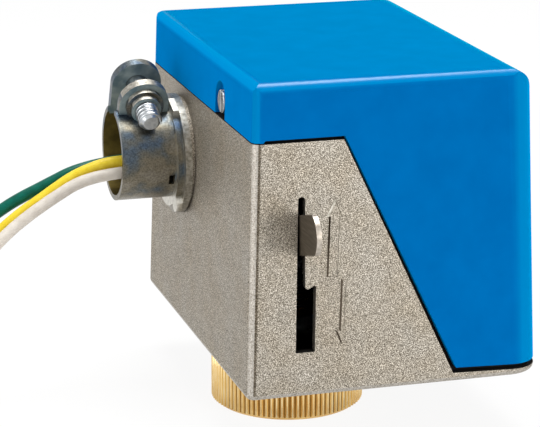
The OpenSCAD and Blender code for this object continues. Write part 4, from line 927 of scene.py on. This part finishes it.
def raised_arrow(name, outline):
    """Plateau inside an outline, standing proud of the front wall, with sloping sides."""
    count = len(outline)
    points = []
    for ring, out in ((outline, -BURIED), (outline, PROUD), (drawn_in(outline), RISE)):
        points += [(p.x * MM, front_y(p.y) - out * MM, p.y * MM) for p in ring]
    faces = [tuple(range(count)), tuple(range(2 * count, 3 * count))]
    for i in range(count):
        j = (i + 1) % count
        faces.append((i, j, count + j, count + i))
        faces.append((count + i, count + j, 2 * count + j, 2 * count + i))
    mesh = bpy.data.meshes.new(name)
    mesh.from_pydata(points, [], faces)
    shape = bmesh.new()
    shape.from_mesh(mesh)
    bmesh.ops.recalc_face_normals(shape, faces=shape.faces)
    shape.to_mesh(mesh)
    shape.free()
    finishes = [cast, shaded, rubbed_and_highlit]
    for finish in finishes:
        mesh.materials.append(finish)
    for face in mesh.polygons:
        # Left sides get painted shade, sides facing right or up a painted highlight.
        if abs(face.normal.x) > 0.3:
            in_shade = face.normal.x < 0 and face.normal.z < 0.2
            face.material_index = finishes.index(shaded if in_shade else rubbed_and_highlit)
    piece = bpy.data.objects.new(name, mesh)
    bpy.context.scene.collection.objects.link(piece)
    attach(piece, "housing")
    print(name, len(faces), "faces")


raised_arrow("arrow_up", arrow_points(
    tip=(-2.98, 50.7), neck=0.231, foot=(-3.64, 33.4), half_head=1.95, half_shaft=1.26))
raised_arrow("arrow_down", arrow_points(
    tip=(-1.57, 18.0), neck=0.225, foot=(-0.96, 32.8), half_head=1.46, half_shaft=0.6))

# %% [markdown]
# The studio: a wide pale floor that the nut stands on, an upright strip lamp at the right front,
# a large lamp overhead and a weak one from the left.
# The floor and the world show plain white to the camera and to reflections,
# and the floor mixes that with real shading, so a soft shadow stays.

# %% Floor
FLOOR_Z = nut_low.z
REACH = 2500 * MM
WHITE_SHARE = 0.9


def plain_rays(tree):
    """Socket that is 1 for rays from the camera, off a mirror or through glass, and otherwise 0."""
    rays = add(tree, "ShaderNodeLightPath").outputs
    seen = add(tree, "ShaderNodeMath", {0: rays["Is Camera Ray"], 1: rays["Is Glossy Ray"]},
               operation="MAXIMUM")
    seen = add(tree, "ShaderNodeMath", {0: seen.outputs[0], 1: rays["Is Transmission Ray"]},
               operation="MAXIMUM")
    return seen.outputs[0]


corners = [(-REACH, -REACH), (REACH, -REACH), (REACH, REACH), (-REACH, REACH)]
floor_mesh = bpy.data.meshes.new("floor")
floor_mesh.from_pydata([(x, y, FLOOR_Z) for x, y in corners], [], [(0, 1, 2, 3)])
floor = bpy.data.objects.new("floor", floor_mesh)
bpy.context.scene.collection.objects.link(floor)
paper = bpy.data.materials.new("white_paper_sweep")
paper.use_nodes = True
tree = paper.node_tree
tree.nodes.clear()
part = add(tree, "ShaderNodeMath", {0: plain_rays(tree), 1: WHITE_SHARE}, operation="MULTIPLY")
matt = add(tree, "ShaderNodeBsdfDiffuse", {"Color": linear("#F6F6F6")})
white = add(tree, "ShaderNodeEmission", {"Color": linear("#FFFFFF"), "Strength": 1.0})
both = add(tree, "ShaderNodeMixShader", {0: part.outputs[0], 1: matt.outputs[0], 2: white.outputs[0]})
add(tree, "ShaderNodeOutputMaterial", {"Surface": both.outputs[0]})
floor_mesh.materials.append(paper)
print("floor at", round(FLOOR_Z / MM, 1), "mm")

# %% World and lamps
AMBIENT = 0.4
LAMPS_AIM = Vector((10, 0, 40)) * MM
world = bpy.data.worlds.new("studio")
bpy.context.scene.world = world
world.use_nodes = True
tree = world.node_tree
tree.nodes.clear()
level = add(tree, "ShaderNodeMapRange", {"Value": plain_rays(tree), "To Min": AMBIENT, "To Max": 1.0})
sky = add(tree, "ShaderNodeBackground", {"Color": linear("#FFFFFF"), "Strength": level.outputs[0]})
add(tree, "ShaderNodeOutputWorld", {"Surface": sky.outputs[0]})


def softbox(name, at, width, height, watts):
    """Lamp that looks at the middle of the housing. Place and sizes in mm."""
    lamp = bpy.data.objects.new(name, bpy.data.lights.new(name, "AREA"))
    lamp.data.shape = "RECTANGLE"
    lamp.data.size = width * MM
    lamp.data.size_y = height * MM
    lamp.data.energy = watts
    lamp.location = Vector(at) * MM
    lamp.rotation_euler = (LAMPS_AIM - lamp.location).to_track_quat("-Z", "Y").to_euler()
    bpy.context.scene.collection.objects.link(lamp)
    print(name, watts, "W")


softbox("strip_right_front", (430, -690, 150), 120, 320, 2.8)
softbox("overhead", (40, 60, 760), 500, 500, 6.5)
softbox("fill_left", (-700, -250, 240), 500, 500, 2.4)

# %% [markdown]
# The picture keeps plain colours: the Standard view transform shows a colour as it is written.

# %% View transform
bpy.context.scene.view_settings.view_transform = "Standard"
